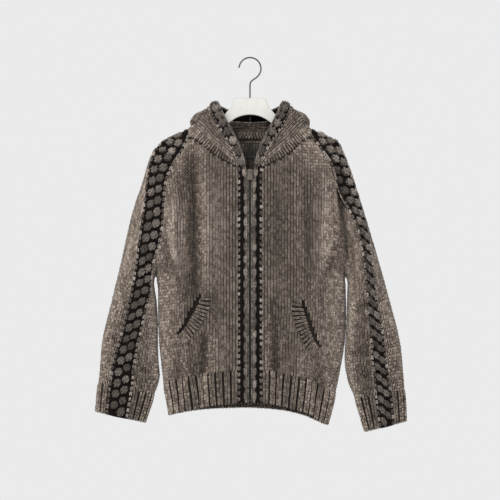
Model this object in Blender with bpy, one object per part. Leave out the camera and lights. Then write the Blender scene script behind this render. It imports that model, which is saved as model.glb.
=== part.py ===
"""Chunky knit zip-up hoodie hanging on a display hanger.

Metres, +Z up. The origin is the crown of the hook's inner side, where the rail holds the hanger.
The garment's front faces -Y, and the wearer's right arm is on the -X side.
"""

import math

import bmesh
import bpy
import numpy as np
from mathutils import Vector
from mathutils.kdtree import KDTree

RIGHT, LEFT = "right", "left"
SIGN = {RIGHT: -1.0, LEFT: 1.0}

WALL = 0.004
HOOD_WALL = 0.003
SEAM_INSET = 0.0003
STRIP_INSET = 0.0008
RIB_PITCH = 0.0155
RIB_HEIGHT = 0.0035
NECK_RIB_PITCH = 0.0125
NECK_RIB_HEIGHT = 0.0022
LINK_PITCH = 0.0284
LINK_HEIGHT = 0.0055
HOOD_LINK_HEIGHT = 0.0065
BOBBLE_PITCH = 0.0260
BOBBLE_HEIGHT = 0.0070
HEM_HEIGHT = 0.075
BAND_EDGE = 0.0265
ZIP_GAP = 0.0024


def monotone_cubic(keys, values, at):
    """Smooth curve through a table's column that never overshoots its rows."""
    at = np.clip(np.asarray(at, float), keys[0], keys[-1])
    step = np.diff(keys)
    slope = np.diff(values) / step
    tangent = np.zeros(len(keys))
    tangent[0], tangent[-1] = slope[0], slope[-1]
    rising = slope[:-1] * slope[1:] > 0
    weight_a, weight_b = 2 * step[1:] + step[:-1], step[1:] + 2 * step[:-1]
    safe_a = np.where(rising, slope[:-1], 1.0)
    safe_b = np.where(rising, slope[1:], 1.0)
    mean = (weight_a + weight_b) / (weight_a / safe_a + weight_b / safe_b)
    tangent[1:-1] = np.where(rising, mean, 0.0)
    i = np.clip(np.searchsorted(keys, at, side="right") - 1, 0, len(keys) - 2)
    t = (at - keys[i]) / step[i]
    return (
        values[i] * (1 + 2 * t) * (1 - t) ** 2
        + tangent[i] * step[i] * t * (1 - t) ** 2
        + values[i + 1] * t * t * (3 - 2 * t)
        - tangent[i + 1] * step[i] * t * t * (1 - t)
    )


class Table:
    """A short table with named columns, read as smooth curves over its first column."""

    def __init__(self, columns, rows):
        data = np.array(sorted(rows), float)
        self.key = data[:, 0]
        self.columns = dict(zip(columns.split(), data.T))

    def at(self, column, key):
        return monotone_cubic(self.key, self.columns[column], key)

    def points(self, names, key):
        return np.stack([self.at(name, key) for name in names.split()], -1)


# Outer end of each front row: side seam up to the underarm, then armhole, then saddle seam.
FRONT_EDGE = Table("z right left depth", [
    (-0.860, 0.178, 0.173, 0.000),
    (-0.842, 0.180, 0.176, 0.000),
    (-0.820, 0.183, 0.182, 0.000),
    (-0.780, 0.190, 0.192, 0.000),
    (-0.728, 0.199, 0.203, 0.000),
    (-0.690, 0.203, 0.210, 0.000),
    (-0.650, 0.207, 0.216, 0.000),
    (-0.600, 0.209, 0.219, 0.000),
    (-0.535, 0.209, 0.218, 0.000),
    (-0.498, 0.213, 0.216, 0.000),
    (-0.468, 0.213, 0.214, 0.034),
    (-0.430, 0.206, 0.207, 0.049),
    (-0.385, 0.198, 0.198, 0.055),
    (-0.337, 0.195, 0.195, 0.055),
    (-0.290, 0.191, 0.195, 0.050),
    (-0.252, 0.176, 0.186, 0.043),
    (-0.215, 0.154, 0.163, 0.034),
    (-0.181, 0.139, 0.139, 0.026),
])
FRONT_SHAPE = Table("z centre flat round", [
    (-0.860, 0.070, 2.5, 0.50),
    (-0.780, 0.072, 2.5, 0.50),
    (-0.700, 0.078, 2.6, 0.50),
    (-0.600, 0.083, 2.6, 0.50),
    (-0.498, 0.086, 2.6, 0.50),
    (-0.430, 0.087, 2.6, 0.70),
    (-0.385, 0.086, 2.5, 0.80),
    (-0.300, 0.082, 2.3, 0.90),
    (-0.252, 0.078, 2.2, 0.95),
    (-0.181, 0.068, 2.0, 1.00),
])
BACK_EDGE = Table("z right left depth", [
    (-0.860, 0.178, 0.173, 0.000),
    (-0.842, 0.180, 0.176, 0.000),
    (-0.820, 0.183, 0.182, 0.000),
    (-0.780, 0.190, 0.192, 0.000),
    (-0.728, 0.199, 0.203, 0.000),
    (-0.690, 0.203, 0.210, 0.000),
    (-0.650, 0.207, 0.216, 0.000),
    (-0.600, 0.209, 0.219, 0.000),
    (-0.535, 0.209, 0.218, 0.000),
    (-0.498, 0.213, 0.216, 0.000),
    (-0.455, 0.208, 0.210, 0.033),
    (-0.400, 0.196, 0.198, 0.045),
    (-0.345, 0.193, 0.194, 0.047),
    (-0.290, 0.196, 0.197, 0.041),
    (-0.240, 0.203, 0.203, 0.028),
    (-0.196, 0.208, 0.207, 0.010),
    (-0.178, 0.173, 0.172, 0.012),
    (-0.160, 0.136, 0.134, 0.014),
])
BACK_SHAPE = Table("z centre flat round", [
    (-0.860, 0.064, 2.5, 0.50),
    (-0.700, 0.073, 2.6, 0.50),
    (-0.600, 0.077, 2.6, 0.50),
    (-0.498, 0.079, 2.6, 0.50),
    (-0.430, 0.079, 2.6, 0.70),
    (-0.385, 0.079, 2.5, 0.80),
    (-0.300, 0.077, 2.3, 0.90),
    (-0.220, 0.069, 2.0, 1.00),
    (-0.182, 0.062, 2.0, 1.00),
    (-0.150, 0.056, 2.0, 1.00),
])
# Height of the hem's lower edge across each half, from the zip or centre back to the side seam.
HEM_LINE = Table("u front_right front_left back_right back_left", [
    (0.00, -0.786, -0.786, -0.808, -0.808),
    (0.30, -0.794, -0.798, -0.809, -0.812),
    (0.60, -0.806, -0.815, -0.813, -0.824),
    (0.80, -0.814, -0.836, -0.817, -0.836),
    (1.00, -0.820, -0.842, -0.820, -0.842),
])
NECK_LINE = Table("u front back", [
    (0.00, -0.252, -0.182),
    (0.28, -0.231, -0.181),
    (0.50, -0.212, -0.178),
    (0.75, -0.191, -0.170),
    (1.00, -0.181, -0.160),
])
# Heights on the outer edge at which the panels have a row, hem top not included.
FRONT_ROWS = (-0.690, -0.635, -0.580, -0.535, -0.498, -0.468, -0.430, -0.385, -0.337, -0.290, -0.252,
              -0.215, -0.181)
BACK_ROWS = (-0.690, -0.635, -0.580, -0.535, -0.498, -0.455, -0.400, -0.345, -0.290, -0.240, -0.196,
             -0.178, -0.160)
UNDERARM_Z = -0.498
SHOULDER_BACK_Z = -0.196
SADDLE_END_Z = {RIGHT: -0.430, LEFT: -0.252}
PANEL_COLUMNS = 8

# Sleeve sections: in the front view each one is the line from its outer to its inner point.
# strip_front and strip_back say how far along that line the contrast strip's edges cross it.
SLEEVE_COLUMNS = "s outer_x outer_z inner_x inner_z front back strip_front strip_back"
SLEEVES = {
    RIGHT: Table(SLEEVE_COLUMNS, [
        (0.00, 0.210, -0.196, 0.214, -0.498, 0.056, 0.048, 0.775, -0.02),
        (0.10, 0.232, -0.240, 0.2225, -0.507, 0.061, 0.054, 0.86, 0.03),
        (0.18, 0.250, -0.300, 0.2235, -0.520, 0.064, 0.058, 0.93, 0.22),
        (0.26, 0.268, -0.355, 0.2215, -0.535, 0.065, 0.060, 0.92, 0.31),
        (0.38, 0.292, -0.460, 0.2170, -0.562, 0.062, 0.058, 0.85, 0.37),
        (0.50, 0.314, -0.552, 0.2145, -0.602, 0.056, 0.052, 0.75, 0.36),
        (0.68, 0.339, -0.662, 0.2130, -0.690, 0.044, 0.042, 0.64, 0.27),
        (0.80, 0.343, -0.716, 0.2095, -0.731, 0.038, 0.036, 0.59, 0.19),
        (0.87, 0.346, -0.745, 0.2220, -0.772, 0.028, 0.027, 0.62, 0.19),
        (1.00, 0.352, -0.812, 0.2440, -0.836, 0.021, 0.020, 0.66, 0.20),
    ]),
    LEFT: Table(SLEEVE_COLUMNS, [
        (0.00, 0.210, -0.198, 0.216, -0.498, 0.056, 0.048, 0.18, -0.02),
        (0.10, 0.229, -0.255, 0.2245, -0.507, 0.061, 0.054, 0.31, 0.00),
        (0.18, 0.246, -0.310, 0.2275, -0.522, 0.064, 0.058, 0.33, 0.01),
        (0.26, 0.264, -0.368, 0.2265, -0.538, 0.065, 0.060, 0.36, 0.02),
        (0.38, 0.294, -0.468, 0.2255, -0.566, 0.062, 0.058, 0.47, 0.20),
        (0.50, 0.318, -0.555, 0.2245, -0.603, 0.056, 0.052, 0.54, 0.28),
        (0.68, 0.344, -0.662, 0.2200, -0.692, 0.044, 0.042, 0.54, 0.29),
        (0.80, 0.350, -0.722, 0.2260, -0.737, 0.038, 0.036, 0.54, 0.27),
        (0.87, 0.353, -0.762, 0.2430, -0.780, 0.028, 0.027, 0.60, 0.28),
        (1.00, 0.3565, -0.834, 0.2670, -0.857, 0.021, 0.020, 0.66, 0.30),
    ]),
}
SLEEVE_ROWS = (0.0, 0.05, 0.10, 0.16, 0.22, 0.30, 0.38, 0.46, 0.55, 0.64, 0.73, 0.80, 0.87)
CUFF_ROWS = (0.87, 0.935, 1.0)
STRIP_SAG = 0.005
RIM_AT_RIB = np.array([0.0112, -0.0812, -0.2455])

# Hood, drawn for the wearer's left: w runs from the zip round to the centre back.
# base is the top of the neck rib, trim the edge of the contrast trim, rim the free edge.
HOOD_BASE = Table("w x y z", [
    (0.00, 0.029, -0.0785, -0.2455),
    (0.14, 0.052, -0.073, -0.226),
    (0.28, 0.084, -0.060, -0.199),
    (0.40, 0.110, -0.041, -0.171),
    (0.50, 0.128, -0.008, -0.155),
    (0.62, 0.118, 0.026, -0.154),
    (0.75, 0.087, 0.046, -0.158),
    (0.88, 0.046, 0.058, -0.164),
    (1.00, 0.000, 0.063, -0.167),
])
HOOD_TRIM = Table("w x y z", [
    (0.00, 0.0275, -0.0800, -0.2370),
    (0.14, 0.042, -0.082, -0.207),
    (0.28, 0.062, -0.072, -0.178),
    (0.40, 0.082, -0.050, -0.146),
    (0.50, 0.096, -0.016, -0.115),
    (0.62, 0.096, 0.034, -0.118),
    (0.75, 0.078, 0.072, -0.130),
    (0.88, 0.044, 0.094, -0.142),
    (1.00, 0.000, 0.100, -0.148),
])
HOOD_RIM = Table("w x y z", [
    (0.00, 0.0122, -0.0830, -0.2380),
    (0.14, 0.022, -0.086, -0.207),
    (0.28, 0.037, -0.078, -0.174),
    (0.40, 0.054, -0.058, -0.142),
    (0.50, 0.072, -0.018, -0.101),
    (0.62, 0.074, 0.022, -0.105),
    (0.75, 0.058, 0.052, -0.113),
    (0.88, 0.032, 0.072, -0.120),
    (1.00, 0.000, 0.078, -0.124),
])
# The hood's bag behind the neck, each column a place on its section: the stand's top fold, the
# layer next to the back, the rounded lowest fold, and the outer layer.
HOOD_BAG = {
    "stand": Table("w x y z", [
        (0.50, 0.1240, -0.0090, -0.1500), (0.62, 0.1170, 0.0310, -0.1460), (0.75, 0.0880, 0.0520, -0.1400),
        (0.88, 0.0470, 0.0640, -0.1450), (1.00, 0.0000, 0.0690, -0.1480)]),
    "inner": Table("w x y z", [
        (0.50, 0.1184, -0.0104, -0.1425), (0.62, 0.1260, 0.0430, -0.1400), (0.75, 0.1020, 0.0760, -0.1720),
        (0.88, 0.0560, 0.0880, -0.1950), (1.00, 0.0000, 0.0920, -0.2000)]),
    "inner_low": Table("w x y z", [
        (0.50, 0.1130, -0.0117, -0.1355), (0.62, 0.1330, 0.0550, -0.1450), (0.75, 0.1120, 0.0800, -0.2120),
        (0.88, 0.0620, 0.0900, -0.2650), (1.00, 0.0000, 0.0930, -0.2850)]),
    "fold": Table("w x y z", [
        (0.50, 0.1100, -0.0125, -0.1315), (0.62, 0.1380, 0.0650, -0.1420), (0.75, 0.1180, 0.0980, -0.2430),
        (0.88, 0.0650, 0.1080, -0.3020), (1.00, 0.0000, 0.1110, -0.3260)]),
    "outer_low": Table("w x y z", [
        (0.50, 0.1067, -0.0133, -0.1275), (0.62, 0.1310, 0.0660, -0.1290), (0.75, 0.1170, 0.1170, -0.2170),
        (0.88, 0.0650, 0.1270, -0.2680), (1.00, 0.0000, 0.1300, -0.2880)]),
    "outer": Table("w x y z", [
        (0.50, 0.1015, -0.0146, -0.1212), (0.62, 0.1160, 0.0560, -0.1210), (0.75, 0.1070, 0.1150, -0.1790),
        (0.88, 0.0600, 0.1300, -0.2030), (1.00, 0.0000, 0.1350, -0.2130)]),
}
BAG_AT = {"stand": 0.12, "inner": 0.30, "inner_low": 0.46, "fold": 0.56, "outer_low": 0.66, "outer": 0.82}
HOOD_ROWS = (0.0, 0.07, 0.12, 0.18, 0.30, 0.46, 0.51, 0.56, 0.61, 0.66, 0.82, 0.92, 1.0)

# Pocket mouth and its ribbed welt: along the mouth from its top, and across it towards the zip.
POCKET_MOUTH = {RIGHT: ((0.1136, -0.545), (0.1630, -0.630)), LEFT: ((0.1200, -0.560), (0.1580, -0.658))}
MOUTH_WIDTH = 0.0105
WELT = Table("mouth_along mouth_across outer_along outer_across", [
    (0.00, 0.0000, -0.12, 0.022),
    (0.27, 0.0020, 0.18, 0.033),
    (0.47, 0.0030, 0.46, 0.034),
    (0.67, 0.0040, 0.73, 0.033),
    (0.88, 0.0030, 1.02, 0.029),
    (1.00, 0.0000, 1.20, 0.021),
])
WELT_RIBS = 15
WELT_CLEARANCE = 0.0004
WELT_THICKNESS = 0.0026
BAG_DEPTH = 0.015

HANGER_THICKNESS = 0.012
HOOK_WIRE = 0.0017
HOOK_RADIUS = 0.0252
HEAD_TOP_Z = -0.0915
SHANK_DEPTH = 0.012

COLOURS = {
    "yarn": ((0.150, 0.122, 0.102, 1.0), 0.95, 0.0),
    "contrast": ((0.030, 0.021, 0.017, 1.0), 0.95, 0.0),
    "tape": ((0.035, 0.030, 0.028, 1.0), 0.85, 0.0),
    "label": ((0.012, 0.012, 0.012, 1.0), 0.70, 0.0),
    "hanger": ((0.80, 0.79, 0.76, 1.0), 0.35, 0.0),
    "steel": ((0.10, 0.10, 0.10, 1.0), 0.35, 1.0),
    "zip_metal": ((0.25, 0.25, 0.23, 1.0), 0.45, 1.0),
}


def material(name):
    """The named finish as a Principled BSDF, made once."""
    found = bpy.data.materials.get(name)
    if found:
        return found
    colour, roughness, metallic = COLOURS[name]
    made = bpy.data.materials.new(name)
    made.use_nodes = True
    shader = made.node_tree.nodes["Principled BSDF"]
    shader.inputs["Base Color"].default_value = colour
    shader.inputs["Roughness"].default_value = roughness
    shader.inputs["Metallic"].default_value = metallic
    return made


def unit(vectors):
    """Vectors scaled to length one."""
    return vectors / np.maximum(np.linalg.norm(vectors, axis=-1, keepdims=True), 1e-12)


def mesh_object(name, points, faces, finish):
    """A node made from points and faces, with its normals turned outward."""
    mesh = bpy.data.meshes.new(name)
    mesh.from_pydata([tuple(map(float, p)) for p in points], [], faces)
    work = bmesh.new()
    work.from_mesh(mesh)
    bmesh.ops.remove_doubles(work, verts=work.verts, dist=1e-6)
    bmesh.ops.recalc_face_normals(work, faces=work.faces)
    work.to_mesh(mesh)
    work.free()
    mesh.shade_smooth()
    mesh.set_sharp_from_angle(angle=math.radians(50))
    mesh.materials.append(material(finish))
    made = bpy.data.objects.new(name, mesh)
    bpy.context.scene.collection.objects.link(made)
    return made


def square_to(direction, edge):
    """Unit vectors along direction with their part along the edge's own run taken out."""
    run = unit(np.gradient(edge, axis=0))
    return unit(direction - run * (direction * run).sum(-1, keepdims=True))


def inset_edges(grid, amount):
    """Moves a grid's four edges inward along the surface, which opens the seam gaps."""
    moved = grid.copy()
    moved[0] += square_to(grid[1] - grid[0], grid[0]) * amount
    moved[-1] += square_to(grid[-2] - grid[-1], grid[-1]) * amount
    moved[:, 0] += square_to(grid[:, 1] - grid[:, 0], grid[:, 0]) * amount
    moved[:, -1] += square_to(grid[:, -2] - grid[:, -1], grid[:, -1]) * amount
    return moved


def wall(name, points, normals, finish, relief=None, thickness=WALL, inner_columns=None, inset=SEAM_INSET):
    """A closed cloth wall: relief is raised in its outer points, and its inside is plain.

    inner_columns picks the columns that the plain inside keeps. thickness is one value, or one for
    each point.
    """
    rows, columns = points.shape[:2]
    base = inset_edges(points, inset)
    outer = base if relief is None else base + normals * relief[..., None]
    kept = list(range(columns)) if inner_columns is None else list(inner_columns)
    inner = (base - normals * np.broadcast_to(thickness, (rows, columns))[..., None])[:, kept]
    count = rows * columns

    def out(i, j):
        return i * columns + j

    def inside(i, j):
        return count + i * len(kept) + j

    faces = [
        (out(i, j), out(i, j + 1), out(i + 1, j + 1), out(i + 1, j))
        for i in range(rows - 1) for j in range(columns - 1)
    ]
    faces += [
        (inside(i, j), inside(i + 1, j), inside(i + 1, j + 1), inside(i, j + 1))
        for i in range(rows - 1) for j in range(len(kept) - 1)
    ]
    every = np.concatenate([outer.reshape(-1, 3), inner.reshape(-1, 3)])
    for j, k in ((0, 0), (columns - 1, len(kept) - 1)):
        for i in range(rows - 1):
            faces += split_quad(every, (out(i, j), out(i + 1, j), inside(i + 1, k), inside(i, k)))
    for i in (0, rows - 1):
        for k in range(len(kept) - 1):
            ring = [out(i, j) for j in range(kept[k], kept[k + 1] + 1)]
            ring += [inside(i, k + 1), inside(i, k)]
            faces += split_quad(every, ring) if len(ring) == 4 else [tuple(ring)]
    return mesh_object(name, every, faces, finish)


def split_quad(points, quad):
    """A quad as two triangles on its shorter diagonal, the same choice on both sides of a seam."""
    a, b, c, d = quad
    if np.linalg.norm(points[a] - points[c]) <= np.linalg.norm(points[b] - points[d]):
        return [(a, b, c), (a, c, d)]
    return [(a, b, d), (b, c, d)]


class RowLookup:
    """Cross sections of one half of the body, read by height and by share of the section's length."""

    LOW, HIGH, SHARES, DENSE = 120, 110, 65, 400

    def __init__(self, edge, shape, side, start):
        below = np.linspace(-0.860, UNDERARM_Z, self.LOW)
        self.z = np.concatenate([below, np.linspace(UNDERARM_Z, -0.150, self.HIGH)[1:]])
        self.u = np.linspace(0, 1, self.SHARES)
        across = 1 - (1 - np.linspace(0, 1, self.DENSE)) ** 2
        facing = -1.0 if edge is FRONT_EDGE else 1.0
        self.grid = np.zeros((len(self.z), self.SHARES, 2))
        for i, z in enumerate(self.z):
            seam = FRONT_EDGE if z <= UNDERARM_Z else edge
            end, depth = float(seam.at(side, z)), float(edge.at("depth", z))
            centre, flat, rounding = (float(shape.at(c, z)) for c in ("centre", "flat", "round"))
            x = start + across * (end - start)
            y = depth + (centre - depth) * np.maximum(1 - across**flat, 0) ** rounding
            length = np.concatenate([[0], np.cumsum(np.hypot(np.diff(x), np.diff(y)))])
            share = length / length[-1]
            self.grid[i, :, 0] = SIGN[side] * np.interp(self.u, share, x)
            self.grid[i, :, 1] = facing * np.interp(self.u, share, y)

    def point(self, u, z):
        """Points at share u of the section at height z."""
        u, z = np.broadcast_arrays(np.asarray(u, float), np.asarray(z, float))
        i = np.clip(np.searchsorted(self.z, z, side="right") - 1, 0, len(self.z) - 2)
        j = np.clip((u * (self.SHARES - 1)).astype(int), 0, self.SHARES - 2)
        a = ((z - self.z[i]) / (self.z[i + 1] - self.z[i]))[..., None]
        b = (u * (self.SHARES - 1) - j)[..., None]
        grid = self.grid
        low = grid[i, j] * (1 - b) + grid[i, j + 1] * b
        high = grid[i + 1, j] * (1 - b) + grid[i + 1, j + 1] * b
        xy = low * (1 - a) + high * a
        return np.concatenate([xy, z[..., None]], -1)


FRONT_HALF = {side: RowLookup(FRONT_EDGE, FRONT_SHAPE, side, BAND_EDGE) for side in SIGN}
BACK_HALF = {side: RowLookup(BACK_EDGE, BACK_SHAPE, side, 0.0) for side in SIGN}


def panel_heights(side, face, u, v):
    """Height at share u across a half panel and share v from hem top to neckline."""
    low = HEM_LINE.at(f"{face}_{side}", u) + HEM_HEIGHT
    high = NECK_LINE.at(face, u)
    return low + v * (high - low)


def panel_grid(side, face):
    """Rows from hem top to neckline, columns from zip or centre back to the outer edge."""
    half = FRONT_HALF[side] if face == "front" else BACK_HALF[side]
    rows = FRONT_ROWS if face == "front" else BACK_ROWS
    low = float(HEM_LINE.at(f"{face}_{side}", 1.0)) + HEM_HEIGHT
    high = float(NECK_LINE.at(face, 1.0))
    v = (np.array((low,) + rows) - low) / (high - low)
    u = np.linspace(0, 1, PANEL_COLUMNS + 1)
    return half.point(u[None, :], panel_heights(side, face, u[None, :], v[:, None]))


def hem_grid(side, face):
    """Rows from the hem's lower edge to its top, on the panel's own columns."""
    half = FRONT_HALF[side] if face == "front" else BACK_HALF[side]
    u = np.linspace(0, 1, PANEL_COLUMNS + 1)
    low = HEM_LINE.at(f"{face}_{side}", u)
    steps = np.array([0.0, 0.45, 1.0])
    return half.point(u[None, :], low[None, :] + steps[:, None] * HEM_HEIGHT)


def edge_from(grid, rows, low_z, high_z):
    """The outer-edge points of a panel grid whose rows lie between two heights."""
    heights = grid[:, -1, 2]
    pick = [i for i in range(len(heights)) if low_z - 1e-6 <= heights[i] <= high_z + 1e-6]
    return grid[pick, -1]


LOOP_STEPS = 360


def sleeve_loop(side, s):
    """Dense closed section of a sleeve, from its outer point round the front, and arc lengths."""
    table = SLEEVES[side]
    outer = np.array([float(table.at("outer_x", s)), 0.0, float(table.at("outer_z", s))])
    inner = np.array([float(table.at("inner_x", s)), 0.0, float(table.at("inner_z", s))])
    angle = np.linspace(0, 2 * math.pi, LOOP_STEPS + 1)
    power = 0.88
    c = np.sign(np.cos(angle)) * np.abs(np.cos(angle)) ** power
    d = np.sign(np.sin(angle)) * np.abs(np.sin(angle)) ** power
    depth = np.where(d > 0, float(table.at("front", s)), float(table.at("back", s)))
    loop = (outer + inner) / 2 + c[:, None] * (outer - inner) / 2
    loop[:, 1] = -d * depth
    loop[:, 0] *= SIGN[side]
    length = np.concatenate([[0], np.cumsum(np.linalg.norm(np.diff(loop, axis=0), axis=1))])
    return loop, length


def strip_arcs(side, s, length):
    """Arc positions of the contrast strip's front and back edges on a sleeve section."""
    places = []
    for column in ("strip_front", "strip_back"):
        across = float(SLEEVES[side].at(column, s))
        c = 1 - 2 * abs(across)
        angle = math.acos(math.copysign(abs(c) ** (1 / 0.88), c))
        angle = angle if across >= 0 else -angle
        turn = angle / (2 * math.pi) * LOOP_STEPS
        place = np.interp(abs(turn), np.arange(LOOP_STEPS + 1), length)
        places.append(place if across >= 0 else np.interp(LOOP_STEPS + turn, np.arange(LOOP_STEPS + 1), length)
                      - length[-1])
    return places


def on_loop(loop, length, arc):
    """Points at arc positions on a closed section, which may run past its ends."""
    wrapped = np.mod(arc, length[-1])
    return np.stack([np.interp(wrapped, length, loop[:, k]) for k in range(3)], -1)


def sleeve_grid(side, front, back, rows, refine):
    """The sleeve round from the strip's front edge, under the arm, to the strip's back edge."""
    armhole = np.concatenate([
        edge_from(front, FRONT_ROWS, UNDERARM_Z, SADDLE_END_Z[side])[::-1],
        edge_from(back, BACK_ROWS, UNDERARM_Z, SHOULDER_BACK_Z)[1:],
    ])
    armhole = np.stack([
        np.interp(np.arange((len(armhole) - 1) * refine + 1) / refine, np.arange(len(armhole)), armhole[:, k])
        for k in range(3)
    ], -1)
    under = int(armhole[:, 2].argmin())
    before, after = shares_of(armhole[:under + 1]), shares_of(armhole[under:])

    def ring(s):
        loop, arcs = sleeve_loop(side, s)
        start, end = strip_arcs(side, s, arcs)
        middle = arcs[LOOP_STEPS // 2]
        ease = min(s / 0.40, 1.0)
        first = before * (1 - ease) + np.linspace(0, 1, len(before)) * ease
        second = after * (1 - ease) + np.linspace(0, 1, len(after)) * ease
        places = np.concatenate([
            start + first * (middle - start), middle + second[1:] * (end + arcs[-1] - middle)])
        return on_loop(loop, arcs, places)

    error = armhole - ring(0.0)
    ease_out = [max(0.0, 1 - s / 0.22) ** 2 * (1 + 2 * min(s / 0.22, 1.0)) for s in rows]
    return np.array([ring(s) + error * fade for s, fade in zip(rows, ease_out)])


def polyline(points, count=None, at=None):
    """Points at even or given shares of a polyline's length."""
    length = np.concatenate([[0], np.cumsum(np.linalg.norm(np.diff(points, axis=0), axis=1))])
    share = np.linspace(0, 1, count) if at is None else at
    return np.stack([np.interp(share * length[-1], length, points[:, k]) for k in range(points.shape[1])], -1)


def grid_normals(grid):
    """Vertex normals of a grid of points, weighted by face area."""
    normals = np.zeros_like(grid)
    a, b = grid[1:, 1:] - grid[:-1, :-1], grid[1:, :-1] - grid[:-1, 1:]
    face = np.cross(a, b)
    for di in (0, 1):
        for dj in (0, 1):
            rows = slice(di, normals.shape[0] - 1 + di)
            columns = slice(dj, normals.shape[1] - 1 + dj)
            normals[rows, columns] += face
    return normals


class Seams:
    """Normals shared by all the panels that meet at a point, so that their walls meet evenly.

    Panels of one group count together, so a seam's normal halves the angle between two groups.
    """

    REACH = 0.00005

    def __init__(self, grids):
        points = np.concatenate([grid.reshape(-1, 3) for grid, turn, group in grids])
        self.normals = np.concatenate([(turn * grid_normals(grid)).reshape(-1, 3) for grid, turn, group in grids])
        self.group = [group for grid, turn, group in grids for _ in range(grid.size // 3)]
        self.tree = KDTree(len(points))
        for index, point in enumerate(points):
            self.tree.insert(Vector(point), index)
        self.tree.balance()

    def at(self, grid):
        """Unit normals at a grid's points."""
        flat = []
        for point in grid.reshape(-1, 3):
            sums = {}
            for _, index, _ in self.tree.find_range(Vector(point), self.REACH):
                group = self.group[index]
                sums[group] = sums.get(group, 0) + self.normals[index]
            flat.append(sum(unit(total) for total in sums.values()))
        return unit(np.array(flat).reshape(grid.shape))


def refine_columns(grid, shares):
    """A grid's rows read at even shares of its column count, on straight lines between columns."""
    at = np.asarray(shares) * (grid.shape[1] - 1)
    i = np.clip(at.astype(int), 0, grid.shape[1] - 2)
    t = (at - i)[None, :, None]
    return grid[:, i] * (1 - t) + grid[:, i + 1] * t


def flip(grid):
    return np.swapaxes(grid, 0, 1)


def rib_wave(count):
    """Column shares and heights of ribs: two columns to a rib, low at both ends."""
    shares = np.linspace(0, 1, 2 * count + 1)
    return shares, (np.arange(2 * count + 1) % 2).astype(float)


def ribbed(name, grid, normals, pitch, height, low_rows):
    """A ribbed wall on a coarse grid; low_rows scales the ribs on each row."""
    length = np.linalg.norm(np.diff(grid[0], axis=0), axis=1).sum()
    shares, wave = rib_wave(max(2, round(length / pitch)))
    points, turned = refine_columns(grid, shares), unit(refine_columns(normals, shares))
    relief = np.array(low_rows)[:, None] * wave[None, :] * height
    return wall(name, points, turned, "yarn", relief)


def shares_of(points):
    """How far along a polyline each of its points is, from 0 to 1."""
    length = np.concatenate([[0], np.cumsum(np.linalg.norm(np.diff(points, axis=0), axis=1))])
    return length / length[-1]


def with_corners(regular, corners, reach):
    """Regular stations with every corner added; a station nearer than reach to a corner gives way."""
    kept = [s for s in regular if np.abs(corners - s).min() > reach or s in (0.0, 1.0)]
    return np.unique(np.round(np.concatenate([kept, corners]), 9))


def square_across(edge_a, edge_b):
    """Matching shares along a strip's two edges, taken about square to its middle line."""
    dense = 600
    a, b = polyline(edge_a, dense), polyline(edge_b, dense)
    centre = (a + b) / 2
    tangent = unit(np.gradient(centre, axis=0))
    reach = 110
    pairs = [(0, 0)]
    for k in range(1, dense - 1):
        low, high = max(0, k - reach), min(dense, k + reach)
        pick = [low + int(np.abs((edge[low:high] - centre[k]) @ tangent[k]).argmin()) for edge in (a, b)]
        pairs.append((max(pick[0], pairs[-1][0]), max(pick[1], pairs[-1][1])))
    pairs.append((dense - 1, dense - 1))
    steps = np.maximum(np.diff(np.array(pairs, float), axis=0), 0.35)
    return np.concatenate([np.zeros((1, 2)), np.cumsum(steps, axis=0) / steps.sum(0)])


def strip_stations(edge_a, edge_b):
    """Shares along both edges of a strip: two rows to a bobble, and a row at each neighbour's corner."""
    pairs = square_across(edge_a, edge_b)
    middle = pairs.mean(1)
    length = np.linalg.norm(np.diff(polyline(edge_a, 200) / 2 + polyline(edge_b, 200) / 2, axis=0), axis=1).sum()
    regular = np.linspace(0, 1, 2 * round(length / BOBBLE_PITCH) + 1)
    corners = sorted(
        (float(np.interp(corner, pairs[:, column], middle)), column, float(corner))
        for column, edge in enumerate((edge_a, edge_b)) for corner in shares_of(edge)[1:-1]
    )
    merge = 0.25 * regular[1]
    stations = []
    for place, column, corner in corners:
        if stations and place - stations[-1][0] < merge and column not in stations[-1][1]:
            stations[-1][0] = (stations[-1][0] + place) / 2
            stations[-1][1][column] = corner
        else:
            stations.append([place, {column: corner}])
    places = np.array([place for place, fixed in stations])
    stations += [[s, {}] for s in regular if s in (0.0, 1.0) or np.abs(places - s).min() > 0.4 * regular[1]]
    stations.sort(key=lambda station: station[0])
    at = np.array([place for place, fixed in stations])
    shares = np.stack([np.interp(at, middle, pairs[:, column]) for column in (0, 1)], -1)
    for index, (place, fixed) in enumerate(stations):
        for column, corner in fixed.items():
            shares[index, column] = corner
    bobble = 0.5 - 0.5 * np.cos(at * (len(regular) - 1) * math.pi)
    return shares[:, 0], shares[:, 1], bobble


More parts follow.
